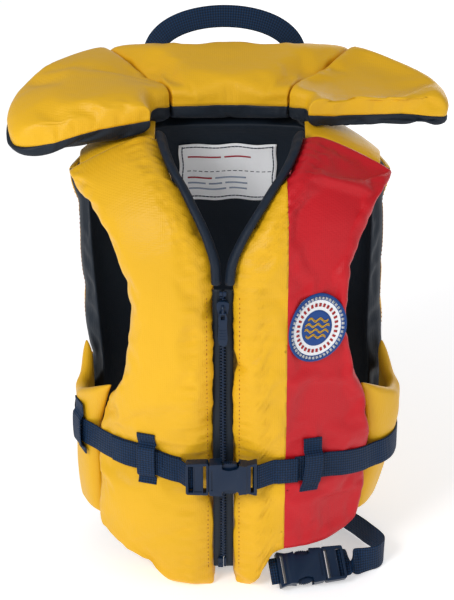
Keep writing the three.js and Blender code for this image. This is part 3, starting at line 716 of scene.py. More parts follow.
# ---------------------------------------------------------------- collar
COLLAR = dict(
    thick=29, edge=23, neck_z=413, back_z=421, neck_y=56, back_y=150, seam_neck=50.5, seam_back=112.5,
)
WING_GAP = 0.5
WINGS = {
    "left": dict(side=1, droop=12, start=150, power=1.0, inner=[(68, 22), (66, 38), (52, 56)],
                 outer=[(150, 46), (188, 50), (180, 88), (146, 122), (114, 146)]),
    "right": dict(side=-1, droop=24, start=100, power=1.5, inner=[(68, 8), (66, 32), (52, 56)],
                  outer=[(150, -2), (185, 9), (190, 52), (167, 99), (114, 146)]),
}


def spline_at(points, t):
    """The spline through points, at parameter t from 0 to 1."""
    return catmull_rom(points, np.clip(t, 0, 1) * (len(points) - 1))


def collar_height(x, y, droop, start, power):
    back = np.clip((y - COLLAR["neck_y"]) / (COLLAR["back_y"] - COLLAR["neck_y"]), 0, 1)
    reach = np.clip((np.abs(x) - 90) / 100, 0, 1)
    fore = np.clip((start - y) / start, 0, 1.05) ** power
    dip = 5 * np.clip((np.abs(x) - 60) / 30, 0, 1) * fore
    return lerp(COLLAR["neck_z"], COLLAR["back_z"], back) - droop * reach**1.3 * fore - dip


def pillow_place(inner, outer, droop, start=150, power=1.0):
    def place(s, t, level):
        """level runs from 1 on top to -1 underneath"""
        a, b = spline_at(inner, t), spline_at(outer, t)
        x, y = lerp(a[..., 0], b[..., 0], s), lerp(a[..., 1], b[..., 1], s)
        crown = (1 - (2 * s - 1) ** 6) * (1 - (2 * t - 1) ** 6)
        half = lerp(COLLAR["edge"], COLLAR["thick"], crown) / 2
        tip = 3 * smooth(np.abs(x), 140, 185)
        z = collar_height(x, y, droop, start, power) + (half + tip * crown) * level
        neck = (1 - smooth(s, 0, 0.22)) * smooth(y, 35, 56)
        rear = 4.0 * smooth(y, 70, 140) * smooth(level, -0.5, 0.5)
        return np.stack([x, y - 5 * neck, z - 7 * neck * (1 - smooth(level, -1, 0.6)) + rear], axis=-1)

    return place


def edge_fall(s, t, size, edge):
    """From 1 at the edges to 0 at edge mm inside them, along a quarter circle."""
    near = np.minimum(np.minimum(s, 1 - s) * size[0], np.minimum(t, 1 - t) * size[1])
    return 1 - np.sqrt(1 - (1 - np.clip(near / edge, 0, 1)) ** 2 + 1e-9)


def make_pillow(name, place, cells, size):
    s, t = grid(*cells)
    fall = edge_fall(s, t, size, 8)
    top = place(s, t, 0.95 - 0.4 * fall)
    bottom = place(s, t, -0.95 + 0.25 * fall)
    split = -0.2
    walls = [place(s, t, np.full_like(s, level)) for level in (0.2, split, split - 0.22)]
    wall_tags = ["yellow", "yellow", "navy", "navy"]
    shell, _, _, loops = build_shell(top, walls, bottom, lambda i, j: "yellow", wall_tags, "navy")
    obj = mesh_object("pillow", shell.points, shell.faces, "yellow")
    pinned = np.zeros(len(shell.points))
    pinned[loops[2]] = 0.9
    inflate(obj, pinned)
    made = split_by_tag(obj, shell.tags, {
        "yellow": (f"collar_{name}_top", "yellow"), "navy": (f"collar_{name}_base", "lining"),
    })
    body = f"collar_{name}"
    attach(made["yellow"], body, "yellow_nylon", f"{body}_cover", f"{body}_foam", fill=0.85)
    attach(made["navy"], body, "navy_lining", f"{body}_underside", fill=0.85)


def make_collar():
    c = COLLAR
    back_pillow = pillow_place(
        [(-c["seam_neck"], c["neck_y"]), (0, c["neck_y"] + 3), (c["seam_neck"], c["neck_y"])],
        [(-c["seam_back"], c["back_y"] - 4), (0, c["back_y"]), (c["seam_back"], c["back_y"] - 4)], 0,
    )
    make_pillow("back", back_pillow, (20, 36), (92, 165))
    for name, wing in WINGS.items():
        inner, outer = [
            [(wing["side"] * (x + WING_GAP), y) for x, y in wing[edge]] for edge in ("inner", "outer")
        ]
        place = pillow_place(inner, outer, wing["droop"], wing["start"], wing["power"])
        make_pillow(name, place, (22, 28), (100, 125))


# ---------------------------------------------------------------- finding the sewn surface
class Surface:
    """The outside of some finished pieces, for laying trims on them."""

    def __init__(self, *pieces):
        points, faces = [], []
        for piece in pieces:
            start = len(points)
            points.extend(points_of(piece).tolist())
            faces.extend([tuple(start + v for v in p.vertices) for p in piece.data.polygons])
        self.tree = BVHTree.FromPolygons(points, faces)

    def hit(self, start, direction, reach=90):
        """The first point met from start along direction, and its outward normal, or None."""
        direction = Vector(direction).normalized()
        place, normal, _, _ = self.tree.ray_cast(Vector(start), direction, reach)
        if place is None:
            return None
        return np.array(place), np.array(normal if normal.dot(direction) < 0 else -normal)


def unit(v):
    v = np.asarray(v, float)
    return v / max(np.linalg.norm(v), 1e-12)


def settle(values, width):
    """A taut band's lift: the highest nearby value, then smoothed."""
    values = np.asarray(values, float)
    high = np.array([values[max(0, k - width):k + width + 1].max() for k in range(len(values))])
    return np.array([high[max(0, k - width):k + width + 1].mean() for k in range(len(high))])


# ---------------------------------------------------------------- sewn strips and swept shapes
def ribbon(name, stations, width, thick, mat="webbing", wave=0.0):
    """A woven strip through stations (at, across, face), with soft edges. wave is how much it ripples."""
    half, t = width / 2, thick / 2
    section = [(-half, 0), (-half + 0.5, t * 0.8), (-half + 1.6, t), (-half / 2, t * 1.02),
               (0, t), (half / 2, t * 1.02), (half - 1.6, t), (half - 0.5, t * 0.8)]
    section += [(-u, -v) for u, v in section]
    points, along, across = [], [], []
    run = 0.0
    for k, (at, side, face) in enumerate(stations):
        at, side, face = np.asarray(at, float), unit(side), unit(face)
        if k:
            run += np.linalg.norm(at - np.asarray(stations[k - 1][0], float))
        for u, v in section:
            ripple = wave * math.sin(run * 0.19 + u * 0.12)
            points.append(at + side * u + face * (v + ripple))
            along.append(run)
            across.append(u)
    faces = ring_faces(len(stations), len(section)) + end_caps(len(stations), len(section))
    obj = recalc(mesh_object(name, points, faces, mat))
    for key, values in (("along", along), ("across", across)):
        obj.data.attributes.new(key, "FLOAT", "POINT").data.foreach_set("value", values)
    return obj


def refine(stations, spacing=1.5):
    """Stations interpolated at even small steps along a smooth path."""
    at = np.array([s[0] for s in stations], float)
    side = np.array([unit(s[1]) for s in stations])
    face = np.array([unit(s[2]) for s in stations])
    table = spline_table(np.concatenate([at, side, face], axis=1), 600)
    length = np.linalg.norm(np.diff(table[:, :3], axis=0), axis=1).sum()
    count = max(3, int(length / spacing))
    picks = np.linspace(0, len(table) - 1, count + 1).round().astype(int)
    return [(table[p, :3], table[p, 3:6], table[p, 6:9]) for p in picks]


def sweep(name, loops, mat, rounded_off=True):
    """A closed body through loops of points, capped at both ends."""
    count = len(loops[0])
    points = np.concatenate([np.asarray(loop, float) for loop in loops])
    faces = ring_faces(len(loops), count) + end_caps(len(loops), count)
    obj = recalc(mesh_object(name, points, faces, mat))
    return subdivide(obj) if rounded_off else obj


def plain_shell(name, front, back, mat):
    """A closed sheet of one material between two grids."""
    shell = build_shell(front, [], back, lambda i, j: "all", ["all"], "all")[0]
    return recalc(mesh_object(name, shell.points, shell.faces, mat))


SLAB_PUFF = 1.5


def slab(name, place, cells, size, depth, edge):
    """A padded yellow sheet between depth 0 and depth, with its edges rounded over by edge mm."""
    s, t = grid(*cells)
    fall = edge_fall(s, t, size, edge) * min(edge, depth / 2)
    belly = SLAB_PUFF * (1 - (2 * s - 1) ** 4) * (1 - (2 * t - 1) ** 4)
    return subdivide(plain_shell(name, place(s, t, fall - belly), place(s, t, depth - fall), "yellow"))


def join(name, pieces):
    """One object made of several, keeping their materials."""
    bpy.ops.object.select_all(action="DESELECT")
    for piece in pieces:
        piece.select_set(True)
    bpy.context.view_layer.objects.active = pieces[0]
    bpy.ops.object.join()
    pieces[0].name = name
    return pieces[0]


def box_object(name, low, high):
    """A plain box between two corners, in its own axes."""
    bm = bmesh.new()
    bmesh.ops.create_cube(bm, size=1)
    low, high = np.array(low, float), np.array(high, float)
    for v in bm.verts:
        v.co = Vector((low + high) / 2 + np.array(v.co) * (high - low))
    mesh = bpy.data.meshes.new(name)
    bm.to_mesh(mesh)
    bm.free()
    return link(name, mesh)


def block(name, low, high, place, bevel, segments=2, cuts=()):
    return carve(box_object(name, low, high), place, bevel, segments, cuts)


def carry(place, points):
    """Points in a piece's own axes, carried by a 4x4 placing."""
    return np.asarray(points, float) @ place[:3, :3].T + place[:3, 3]


def carve(obj, place, bevel, segments, cuts=()):
    """Cuts boxes and prisms out of obj, rounds its edges, and carries it from its own axes to the pattern."""
    tools = []
    for cut in cuts:
        tool = cut if isinstance(cut, bpy.types.Object) else box_object("cut", *cut)
        tools.append(tool)
        mod = obj.modifiers.new("cut", "BOOLEAN")
        mod.operation = "DIFFERENCE"
        mod.solver = "EXACT"
        mod.object = tool
    mod = obj.modifiers.new("rounding", "BEVEL")
    mod.width = bevel
    mod.segments = segments
    mod.limit_method = "ANGLE"
    mod.angle_limit = math.radians(35)
    bpy.context.view_layer.update()
    apply_modifiers(obj)
    for tool in tools:
        bpy.data.objects.remove(tool)
    obj.data.materials.clear()
    obj.data.materials.append(MATERIAL["plastic"])
    obj.data.polygons.foreach_set("use_smooth", [True] * len(obj.data.polygons))
    set_points(obj, carry(place, coordinates(obj.data)))
    obj.data.set_sharp_from_angle(angle=math.radians(38))
    return obj


def prism(name, outline, half_height, axis="Z"):
    """An upright prism on an outline of (u, v) points: along Z it lies in X-Y, along Y in X-Z."""
    points = []
    for level in (-half_height, half_height):
        points += [(u, v, level) if axis == "Z" else (u, level, v) for u, v in outline]
    mesh = bpy.data.meshes.new(name)
    mesh.from_pydata(points, [], end_caps(2, len(outline)) + ring_faces(2, len(outline)))
    return recalc(link(name, mesh))


# ---------------------------------------------------------------- stitching
STITCH = dict(length=2.6, gap=1.6, width=0.55, sink=0.05, sides=6)


def stitch_row(name, path, inwards, surface):
    """Thread stitches laid on a surface along a path of points, each sewn along its inwards direction."""
    length, gap, width, sides = STITCH["length"], STITCH["gap"], STITCH["width"], STITCH["sides"]
    run = run_length(path)
    points, faces = [], []
    for start in np.arange(2, run[-1] - length - 1, length + gap):
        ends = []
        for distance in (start, start + length / 2, start + length):
            at = np.array([np.interp(distance, run, path[:, k]) for k in range(3)])
            way = unit([np.interp(distance, run, inwards[:, k]) for k in range(3)])
            found = surface.hit(at - way * 30, way, 70)
            if found:
                ends.append(found)
        if len(ends) < 3:
            continue
        along = unit(ends[2][0] - ends[0][0])
        base = len(points)
        for (at, normal), size, lift in zip(ends, (0.45, 1, 0.45), (-0.25, 0.22, -0.25)):
            side = unit(np.cross(normal, along))
            for angle in np.linspace(0, 2 * math.pi, sides + 1)[:-1]:
                rise = lift - STITCH["sink"] + width * 0.7 * size * math.sin(angle)
                points.append(at + normal * rise + side * width * size * math.cos(angle))
        faces += ring_faces(3, sides, base) + end_caps(3, sides, base)
    return recalc(mesh_object(name, points, faces, "thread_yellow"))


def sew(name, place, line, surface):
    """A row of stitches where line gives (s, t) positions across a panel."""
    s, t = np.array(line, float).T
    path = place(s, t, 0.0)
    attach(stitch_row(name, path, place(s, t, 10.0) - path, surface), "vest", "yellow_nylon")


def inset_line(place, s_edge, mm, low, high):
    """(s, t) positions mm inside a panel's side edge, for t from low to high."""
    s = np.linspace(0, 1, 201)
    line = []
    for value in np.linspace(low, high, 80):
        points = place(s, np.full_like(s, value), 0.0)
        run = run_length(points)
        distance = mm if s_edge == 0 else run[-1] - mm
        line.append((np.interp(distance, run, s), value))
    return line


def make_stitching(surface):
    for name, side in SIDES:
        place = front_place(side)
        sew(f"zip_edge_stitches_{name}", place, inset_line(place, 0, 4.0, 0.04, 0.63), surface)
    sew("hem_stitches_back", back_place, [(s, 0.03) for s in np.linspace(0.03, 0.97, 120)], surface)
    for name, s_edge in (("left", 1), ("right", 0)):
        sew(f"side_stitches_back_{name}", back_place, inset_line(back_place, s_edge, 13, 0.04, 0.96), surface)


# ---------------------------------------------------------------- sides, shoulders and neck edge
GUSSET_TOP, GUSSET_BOTTOM, GUSSET_THICK, GUSSET_SAG = 194, 50, 12, 24
SHOULDER_THICK = 9
BINDING_SECTION = [  # (inwards from the neck edge, depth)
    (0.2, 3), (2.2, 0.2), (6.4, 0.9), (8.6, 3.8), (8.9, 9), (7.6, 14.8), (4.2, 16.6), (1.2, 14.8), (0.2, 9),
]


def make_gusset(name, side):
    edge = profile(ARMHOLE_LEFT if side > 0 else ARMHOLE_RIGHT)
    half = side_left if side > 0 else side_right

    def place(s, t, depth):
        z = lerp(GUSSET_BOTTOM, GUSSET_TOP - GUSSET_SAG * (1 - (2 * s - 1) ** 2), t)
        phi = np.abs(front_face.angle(side * edge(z), z)) + 0.04
        start = front_face.point(side * phi, front_face.row_at(z), 7 + depth)
        end = back_face.point(side * (BACK_REACH + 0.04), back_face.row_at(z), 5 + depth)
        bulge = 1 - (2 * s - 1) ** 2
        cinch = 2.0 * bump(z, belt_front(side * 145), 30) * bulge
        fold = 0.9 * np.sin(s * 19 + t * 3.0) * bulge * smooth(np.abs(z - 122), 8, 30)
        flank = side * (half(z) - (0 if side > 0 else 2) - depth - cinch + fold)
        x = lerp(lerp(start[..., 0], end[..., 0], s), flank, bulge)
        return np.stack(np.broadcast_arrays(x, lerp(start[..., 1], end[..., 1], s), z), axis=-1)

    piece = slab(f"gusset_{name}", place, (24, 30), (45, 144), GUSSET_THICK, 4)
    attach(piece, "vest", "yellow_nylon", f"side_gusset_{name}", fill=0.5)
    return piece


def make_shoulder(name, side):
    def place(s, t, depth):
        phi = side * lerp(0.42, 1.12, s)
        fore = front_face.point(phi, np.ones_like(s), 7 + depth)
        rear = back_face.point(phi, np.ones_like(s), 4 + depth)
        fore = fore + np.array([0, 1.5, 0])
        rear = rear + np.array([0, -1.8, 0.8])
        middle = lerp(fore, rear, t[..., None])
        middle[..., 2] += 3 * (1 - (2 * t - 1) ** 2)
        return middle

    piece = slab(f"shoulder_bridge_{name}", place, (22, 20), (80, 85), SHOULDER_THICK, 3.5)
    attach(piece, "vest", "yellow_nylon", f"shoulder_{name}", fill=0.5)


def make_binding(name, side):
    neck = profile(NECK_EDGE)
    start = front_face.row_at(ZIP_TOP + 6)
    loops = []
    for v in np.linspace(start, 1, 56):
        _, z = front_face.at(v)
        edge = ZIP_X * smooth(410 - z, 0, 110) + side * neck(z)
        phi = front_face.angle(edge, z)
        ripple = 0.35 * math.sin(v * 190)
        loops.append([front_face.point(phi, v, depth + ripple) + np.array([-side * inset, 0, 0])
                      for inset, depth in BINDING_SECTION])
    piece = sweep(f"v_binding_{name}", loops, "binding")
    attach(piece, "vest", "navy_lining", f"neck_binding_{name}")


# ---------------------------------------------------------------- zipper
SLIDER_Z = 286
ZIP_HALF = 10
TOOTH_PITCH = 2.9


def zip_point(x, z, lift):
    return np.array([ZIP_X + x, ZIP_Y - lift, z])


def make_tape(name, side):
    outer = ZIP_HALF - 1.2
    loops = []
    for z in np.linspace(ZIP_BOTTOM, ZIP_TOP, 90):
        wobble = 0.18 * math.sin(z * 0.21 + side)
        section = ((1.0, 0.1), (1.0, 1.0), (2.2, 1.3), (5, 1.15 + wobble),
                   (outer, 1.0 + wobble), (outer, 0.2), (5, 0.1))
        loops.append([zip_point(side * x, z, lift) for x, lift in section])
    return sweep(f"zip_tape_{name}", loops, "lining", rounded_off=False)


def make_teeth(name, side):
    """A row of teeth, each four square sections from its head to its foot."""
    points, faces = [], []
    for z in np.arange(ZIP_BOTTOM + 12, ZIP_TOP - 6, TOOTH_PITCH):
        z = z + (TOOTH_PITCH / 2 if side > 0 else 0)
        base = len(points)
        for x, half in ((-0.95, 0.62), (0.4, 0.95), (1.3, 0.62), (2.7, 0.7)):
            for dz, lift in ((-half, 1.6), (half, 1.6), (half * 0.8, 3.2), (-half * 0.8, 3.2)):
                points.append(zip_point(side * x, z + dz, lift))
        faces += ring_faces(4, 4, base)
        faces += [(base, base + 1, base + 2, base + 3), (base + 15, base + 14, base + 13, base + 12)]
    return recalc(mesh_object(f"zip_teeth_{name}", points, faces, "plastic"))


def make_zipper():
    for name, side in SIDES:
        attach(make_tape(name, side), "vest", "navy_lining", f"zipper_tape_{name}")
        attach(make_teeth(name, side), "vest", "navy_plastic", f"zipper_teeth_{name}")
        stop_at = zip_frame(side * 1.55, ZIP_TOP - 3, 1.5)
        stop = block(f"zip_stop_{name}", (-1.5, -2, 0), (1.5, 2, 2.4), stop_at, 0.5)
        attach(stop, "vest", "navy_plastic", f"zipper_top_stop_{name}")
    foot = zip_frame(0, ZIP_BOTTOM + 1, 1.5)
    dimple = ((-3.2, 3.5, 2.9), (-1.4, 6, 5))
    box = block("zip_box", (-4.7, 0, 0), (0.0, 9.5, 3.6), foot, 0.9, 3, [dimple])
    pin = block("zip_pin", (0.4, 0, 0), (2.7, 9.5, 2.6), foot, 0.7, 3)
    attach(box, "vest", "navy_plastic", "zipper_retainer_box")
    attach(pin, "vest", "navy_plastic", "zipper_insertion_pin")
    attach(make_slider(), "zip_slider", "navy_plastic", "zipper_slider")
    attach(make_pull(), "zip_pull", "navy_plastic", "zipper_pull")


def zip_frame(x, z, lift):
    """Own axes on the zipper: X across, Y up the teeth, Z out of the jacket."""
    m = np.eye(4)
    m[:3, 0], m[:3, 1], m[:3, 2] = (1, 0, 0), (0, 0, 1), (0, -1, 0)
    m[:3, 3] = zip_point(x, z, lift)
    return m


def make_slider():
    edge = [(5.3, 0), (5.3, -4), (4.2, -10), (3.6, -14)]
    outline = [(-x, y) for x, y in edge] + edge[::-1] + [(2.4, 1.4), (-2.4, 1.4)]
    place = zip_frame(0, SLIDER_Z, 5.4)
    body = carve(prism("slider_body", outline, 1.4), place, 0.6, 3, [((-1.6, -13, 0.9), (1.6, -9, 3))])
    bridge = []
    for angle in np.linspace(0, math.pi, 9):
        y, z = -6.2 - 4.4 * math.cos(angle), 0.9 + 3.4 * math.sin(angle)
        normal = np.array([0, -math.cos(angle), math.sin(angle)])
        corners = ((-1.3, -0.7), (1.3, -0.7), (1.3, 0.6), (-1.3, 0.6))
        bridge.append(carry(place, [np.array([u, y, z]) + normal * v for u, v in corners]))
    return join("zip_slider_body", [body, sweep("slider_bridge", bridge, "plastic")])


def make_pull():
    edge = [(2.6, 0), (3.9, -4), (3.6, -12), (4.2, -24), (3.4, -29.4)]
    outline = [(-x, y) for x, y in edge] + [(0, -30.6)] + edge[::-1]
    place = zip_frame(0, SLIDER_Z - 8, 8.9)
    grips = [((-2.6, y, 0.7), (2.6, y + 1.1, 3)) for y in (-16, -18.6, -21.2, -23.8)]
    eye = ((-1.7, -6, -3), (1.7, -1.6, 3))
    return carve(prism("zip_pull_tab", outline, 1.0), place, 0.5, 3, [eye] + grips)


# ---------------------------------------------------------------- waist belt
STRAP_MOVES, STRAP_FIXED = 28, 58  # x on the socket's strap where it would bend as the socket slides off; make_belt only converts them to the row frame


def turn_at(x):
    """The turn round the jacket, in radians from the front, at x on the belt."""
    return float(front_face.angle(np.array(float(x)), BELT_Z))


def belt_base(turn, rise=0.0):
    """The plain jacket face under the belt's middle, moved up by rise, and the outward direction."""
    phi = math.copysign(math.pi - abs(turn), turn) if abs(turn) > math.pi / 2 else turn
    behind = abs(turn) > math.pi / 2
    face = back_face if behind else front_face
    half = side_left(BELT_Z) if turn > 0 else side_right(BELT_Z)
    x = half * math.copysign(abs(math.sin(phi)) ** (2 / ROUNDNESS), phi)
    if behind:
        edge = belt_front(155) if turn > 0 else belt_front(-140)
        z = lerp(126, edge, abs(math.sin(phi)) ** 2)
    else:
        z = float(belt_front(x))
    row = face.row_at(z + rise)

    def at(angle):
        return face.point(np.array(angle), row, 0.0)

    tangent = at(phi + NUDGE) - at(phi - NUDGE)
    out = unit([tangent[1], -tangent[0], 0])
    middle = at(phi)
    if out @ middle < 0:
        out = -out
    middle[2] = z + rise
    return middle, out


PROBE = 40  # how far outside the jacket a search for its sewn surface starts
LOWEST_LIFT = -6.0  # where the belt runs if it finds no surface under it


def height_over(surface, base, out):
    """How far the sewn surface stands out from base, or None where there is none."""
    origin = base + out * PROBE
    found = surface.hit(origin, -out, 2 * PROBE)
    return PROBE - np.linalg.norm(found[0] - origin) if found else None


def belt_run(surface, start, end, count, over):
    """Stations of webbing pulled taut over the sewn panels between two turns, over mm above them."""
    turns = np.linspace(start, end, count)
    bases = [belt_base(turn) for turn in turns]
    lifts = []
    for middle, out in bases:
        across = [height_over(surface, middle + np.array([0, 0, rise]), out) for rise in (-11, -5, 0, 5, 11)]
        lifts.append(max([LOWEST_LIFT] + [lift for lift in across if lift is not None]))
    lifts = settle(lifts, 3)
    return [(middle + out * (lift + over), (0, 0, 1), out) for (middle, out), lift in zip(bases, lifts)]


def make_belt(surface):
    start, end = turn_at(57), turn_at(-43)
    left = belt_run(surface, start, math.pi - 0.01, 150, 1.0)
    right = belt_run(surface, -math.pi + 0.01, end, 150, 1.0)
    seam = (left[-1][0] + right[0][0]) / 2
    path = left[:-1] + [(seam, (0, 0, 1), (0, 1, 0))] + right[1:]
    belt = ribbon("belt", path, WEB_WIDTH, WEB)
    loose = belt_run(surface, turn_at(-104), turn_at(-42), 46, 3.1)
    tail = ribbon("belt_loose_end", loose, WEB_WIDTH - 0.6, WEB, wave=0.25)
    over_belt = belt_run(surface, turn_at(34), turn_at(62), 20, 3.2)
    bar = [(np.array([x, waist_y() + 0.6, BELT_Z]), (0, 0, 1), (0, -1, 0)) for x in (19.6, 22, 25)]
    strap = ribbon("socket_strap", refine(bar + over_belt[2::3], 1.2), WEB_WIDTH - 0.6, WEB)
    attach(belt, "vest", "navy_webbing", "waist_belt")
    attach(tail, "vest", "navy_webbing", "belt_tail")
    plug_end = [(np.array([x, waist_y() + dy, BELT_Z]), (0, 0, 1), (0, -1, 0))
                for x, dy in ((-26, 0.4), (-32, 0.8), (-36, 1.0))]
    lead = belt_run(surface, turn_at(-40), turn_at(-60), 14, 3.1)
    feed = ribbon("belt_in_plug", refine(plug_end + lead[3::3], 1.2), WEB_WIDTH - 1, WEB)
    attach(feed, "vest", "navy_webbing")
    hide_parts("waist_socket_strap")
    near, far = to_row((STRAP_MOVES, 0, 0)), to_row((STRAP_FIXED, 0, 0))
    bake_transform(strap)


def waist_y():
    return float(front_face.point(np.array(0.0), front_face.row_at(BELT_Z), 0.0)[1]) - 8.4


def make_keeper(name, turn, width, arch, surface):
    """A band sewn above and below the belt, and standing arch mm off the jacket over it."""
    rows = [
        (-23, 1.0), (-21, 1.0), (-19, 1.1), (-17, 1.8), (-14.6, arch * 0.75), (-12, arch), (0, arch + 0.5),
        (12, arch), (14.6, arch * 0.75), (17, 1.8), (21, 1.1), (26, 1.0), (29, 1.0),
    ]
    stations = []
    for rise, lift in rows:
        base, out = belt_base(turn, rise)
        stations.append([base, out, height_over(surface, base, out) or 0, lift])
    bridge = range(4, 9)  # the rows that cross the belt
    under_belt = max(stations[k][2] for k in bridge)
    path = []
    for k, (base, out, ground, lift) in enumerate(stations):
        level = max(ground, under_belt) if k in bridge else ground
        path.append((base + out * (level + lift), np.cross(out, (0, 0, 1)), out))
    tangents = np.gradient(np.array([p[0] for p in path]), axis=0)
    turned = []
    for (at, side, out), tangent in zip(path, tangents):
        face = np.cross(side, tangent)
        turned.append((at, side, face * np.sign(face @ out)))
    band = ribbon(name, refine(turned, 1.0), width, 1.4)
    attach(band, "vest", "navy_webbing", f"belt_{name}")


# ---------------------------------------------------------------- side-release buckles
def rounded(outline, radius, steps=3):
    """The outline with its corners cut back by radius along a short arc."""
    p = np.array(outline, float)
    result = []
    for k in range(len(p)):
        before, here, after = p[k - 1], p[k], p[(k + 1) % len(p)]
        a = here + unit(before - here) * min(radius, np.linalg.norm(before - here) * 0.45)
        b = here + unit(after - here) * min(radius, np.linalg.norm(after - here) * 0.45)
        for t in np.linspace(0, 1, steps + 1):
            result.append((1 - t) ** 2 * a + 2 * t * (1 - t) * here + t * t * b)
    return [tuple(q) for q in result]


def flipped(outline, sign):
    """The outline, or for sign -1 its mirror image across the strap, turned the same way round."""
    return outline if sign > 0 else [(x, -z) for x, z in outline][::-1]


def make_plug(prefix, place):
    outline = rounded([(-38.5, -15.2), (-18.6, -16), (-18.6, 16), (-38.5, 15.2)], 2.2)
    ladder_slots = [
        ((-36.2, -8, -13.0), (-31.9, 8, 13.0)), ((-23.4, -8, -13.4), (-20.6, 8, 13.4)),
        ((-31.2, -6, -12.6), (-24.2, -3.4, 12.6)),
    ]
    plug_frame = carve(prism("plug_frame", outline, 4.4, "Y"), place, 0.8, 3, ladder_slots)
    neck = block("plug_neck", (-19.4, -3.6, -13), (-16.6, 3.6, 13), place, 0.5)
    tongue = block("plug_tongue", (-18, -2.5, -3.1), (4.2, 2.5, 3.1), place, 0.8)
    return join(f"{prefix}_plug", [plug_frame, neck, tongue])


def make_socket(prefix, place):
    edge = [(-18.2, -15.2), (-8, -15.9), (6, -15.2), (12.5, -13.8), (17, -14.4), (23.5, -16.4)]
    outline = rounded(edge + [(x, -z) for x, z in edge[::-1]], 1.6)
    profile_cut = [(11, -9), (15.4, -4.5), (26, -4.3), (26, -9)]
    cuts = [
        ((-20, -4.1, -13.4), (10.4, 4.1, 13.4)),
        ((18, -8, -13), (20.8, 8, 13)),
        prism("slope", profile_cut, 24),
        prism("slope", [(x, -y) for x, y in profile_cut][::-1], 24),
        ((-16.4, -8, -10.2), (-14.9, -5.2, 10.2)),
    ]
    window = [
        (-8.6, 9.4), (-6.4, 8.0), (-1, 7.4), (4.6, 8.2), (8.4, 10.6), (9.2, 13.4), (7.4, 20), (-6.8, 20),
        (-8.8, 13),
    ]
    face = [(-6.6, 10.8), (-1.0, 9.4), (6.4, 11.2), (8.0, 13.6), (6.6, 20), (-6.2, 20), (-7.2, 13.2)]
    for sign in (1, -1):
        cuts.append(prism("window", rounded(flipped(window, sign), 1.2), 2.6, "Y"))
        cuts.append(prism("face_window", rounded(flipped(face, sign), 1.2), 9, "Y"))
    return carve(prism(f"{prefix}_socket", outline, 6, "Y"), place, 0.7, 3, cuts)


def make_prong(prefix, place, sign):
    plan = [
        (-16.4, 7.6), (-6, 8.2), (6.6, 8.8), (7.0, 10.6), (5.4, 14.9), (1.5, 15.5), (-3.2, 14.9),
        (-7.2, 13.0), (-10, 11.9), (-16.4, 11.8),
    ]
    low, high = sorted((sign * 14.4, sign * 17))
    grooves = [((x, -4, low), (x + 0.8, 4, high)) for x in (-3.4, -1.6, 0.2, 2.0, 3.8)]
    outline = rounded(flipped(plan, sign), 0.9)
    return carve(prism(f"{prefix}_prong", outline, 2.5, "Y"), place, 0.4, 2, grooves)


def make_buckle(prefix, place, bodies, up):
    """X along the strap, Y towards the wearer, Z across the strap. up is 1 if Z is up, or -1."""
    plug, socket = make_plug(prefix, place), make_socket(prefix, place)
    prongs = make_prong(prefix, place, up), make_prong(prefix, place, -up)
    nodes = ("buckle_plug", "buckle_socket", "prong_upper", "prong_lower")
    for piece, node, body in zip((plug, socket, *prongs), nodes, bodies):
        attach(piece, body, "navy_plastic", f"{prefix}_{node}")


def placing(at, yaw=0.0, lean=0.0, turn=0.0):
    """A 4x4 placing: turned about Y, then leant about X, then yawed about Z, then moved."""
    def about(axis, angle):
        c, s = math.cos(angle), math.sin(angle)
        m = np.eye(3)
        i, j = [k for k in range(3) if k != axis]
        m[i, i], m[j, j] = c, c
        m[i, j], m[j, i] = (-s, s) if axis != 1 else (s, -s)
        return m
    m = np.eye(4)
    m[:3, :3] = about(2, yaw) @ about(0, lean) @ about(1, turn)
    m[:3, 3] = at
    return m


# ---------------------------------------------------------------- crotch strap
CROTCH_AT = (66, -85, 16.5)
CROTCH_YAW, CROTCH_LEAN = math.radians(13), math.radians(-46)
CROTCH_MOVES, CROTCH_FIXED = -56, 10  # y on the strap where it would bend as the plug slides out; make_crotch_strap only converts them to the row frame
CROTCH_ROUTE = [
    (105, -73, 13.5), (114, -70, 13), (126, -66, 13), (137, -60, 13), (142, -48, 13),
    (138, -35, 13), (128, -20, 13), (114, 0, 13), (100, 20, 13), (86, 36, 13), (73, 47, 13),
]


def make_crotch_strap():
    place = placing(CROTCH_AT, CROTCH_YAW, CROTCH_LEAN, math.pi)
    make_buckle("crotch", place, ("crotch_plug", "vest", "crotch_prong_up", "crotch_prong_low"), -1)
    side, face = place[:3, :3] @ (0, 0, 1), place[:3, :3] @ (0, -1, 0)
    inside = [(carry(place, (x, 0.4, 0)), side, face) for x in (-25, -30, -35, -40)]
    table = spline_table(CROTCH_ROUTE, 400)
    stations = []
    for u in np.linspace(0.07, 1, 40):
        k = min(int(u * 399), 398)
        tangent = unit((table[k + 1] - table[k]) * (1, 1, 0))
        out = np.array([tangent[1], -tangent[0], 0])
        lean = CROTCH_LEAN * 0.6 * (1 - smooth(u, 0, 0.18))
        across = np.array([0, 0, math.cos(lean)]) + out * math.sin(lean)
        stations.append((table[k], across, out * math.cos(lean) + np.array([0, 0, -math.sin(lean)])))
    strap = ribbon("crotch_webbing", refine(inside + stations, 1.4), WEB_WIDTH, WEB, wave=0.3)
    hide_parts("crotch_strap")
    near, far = to_row((0, CROTCH_MOVES, 13)), to_row((0, CROTCH_FIXED, 13))
    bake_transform(strap)
    tab_path = [(carry(place, at), side, face) for at in ((19.5, 0, 0), (24.4, 0, 0), (30.5, 1, 0))]
    tab = ribbon("crotch_tab", refine(tab_path, 1.0), WEB_WIDTH - 1, WEB)
    attach(tab, "vest", "navy_webbing", "crotch_front_tab")


# ---------------------------------------------------------------- label and badge
LABEL = dict(x=-2, z=337, width=88, height=56)
BADGE = dict(x=74.3, z=260, radius=31, squeeze=0.84, turn=9, centre=0.53, dots=0.68, band=0.82)


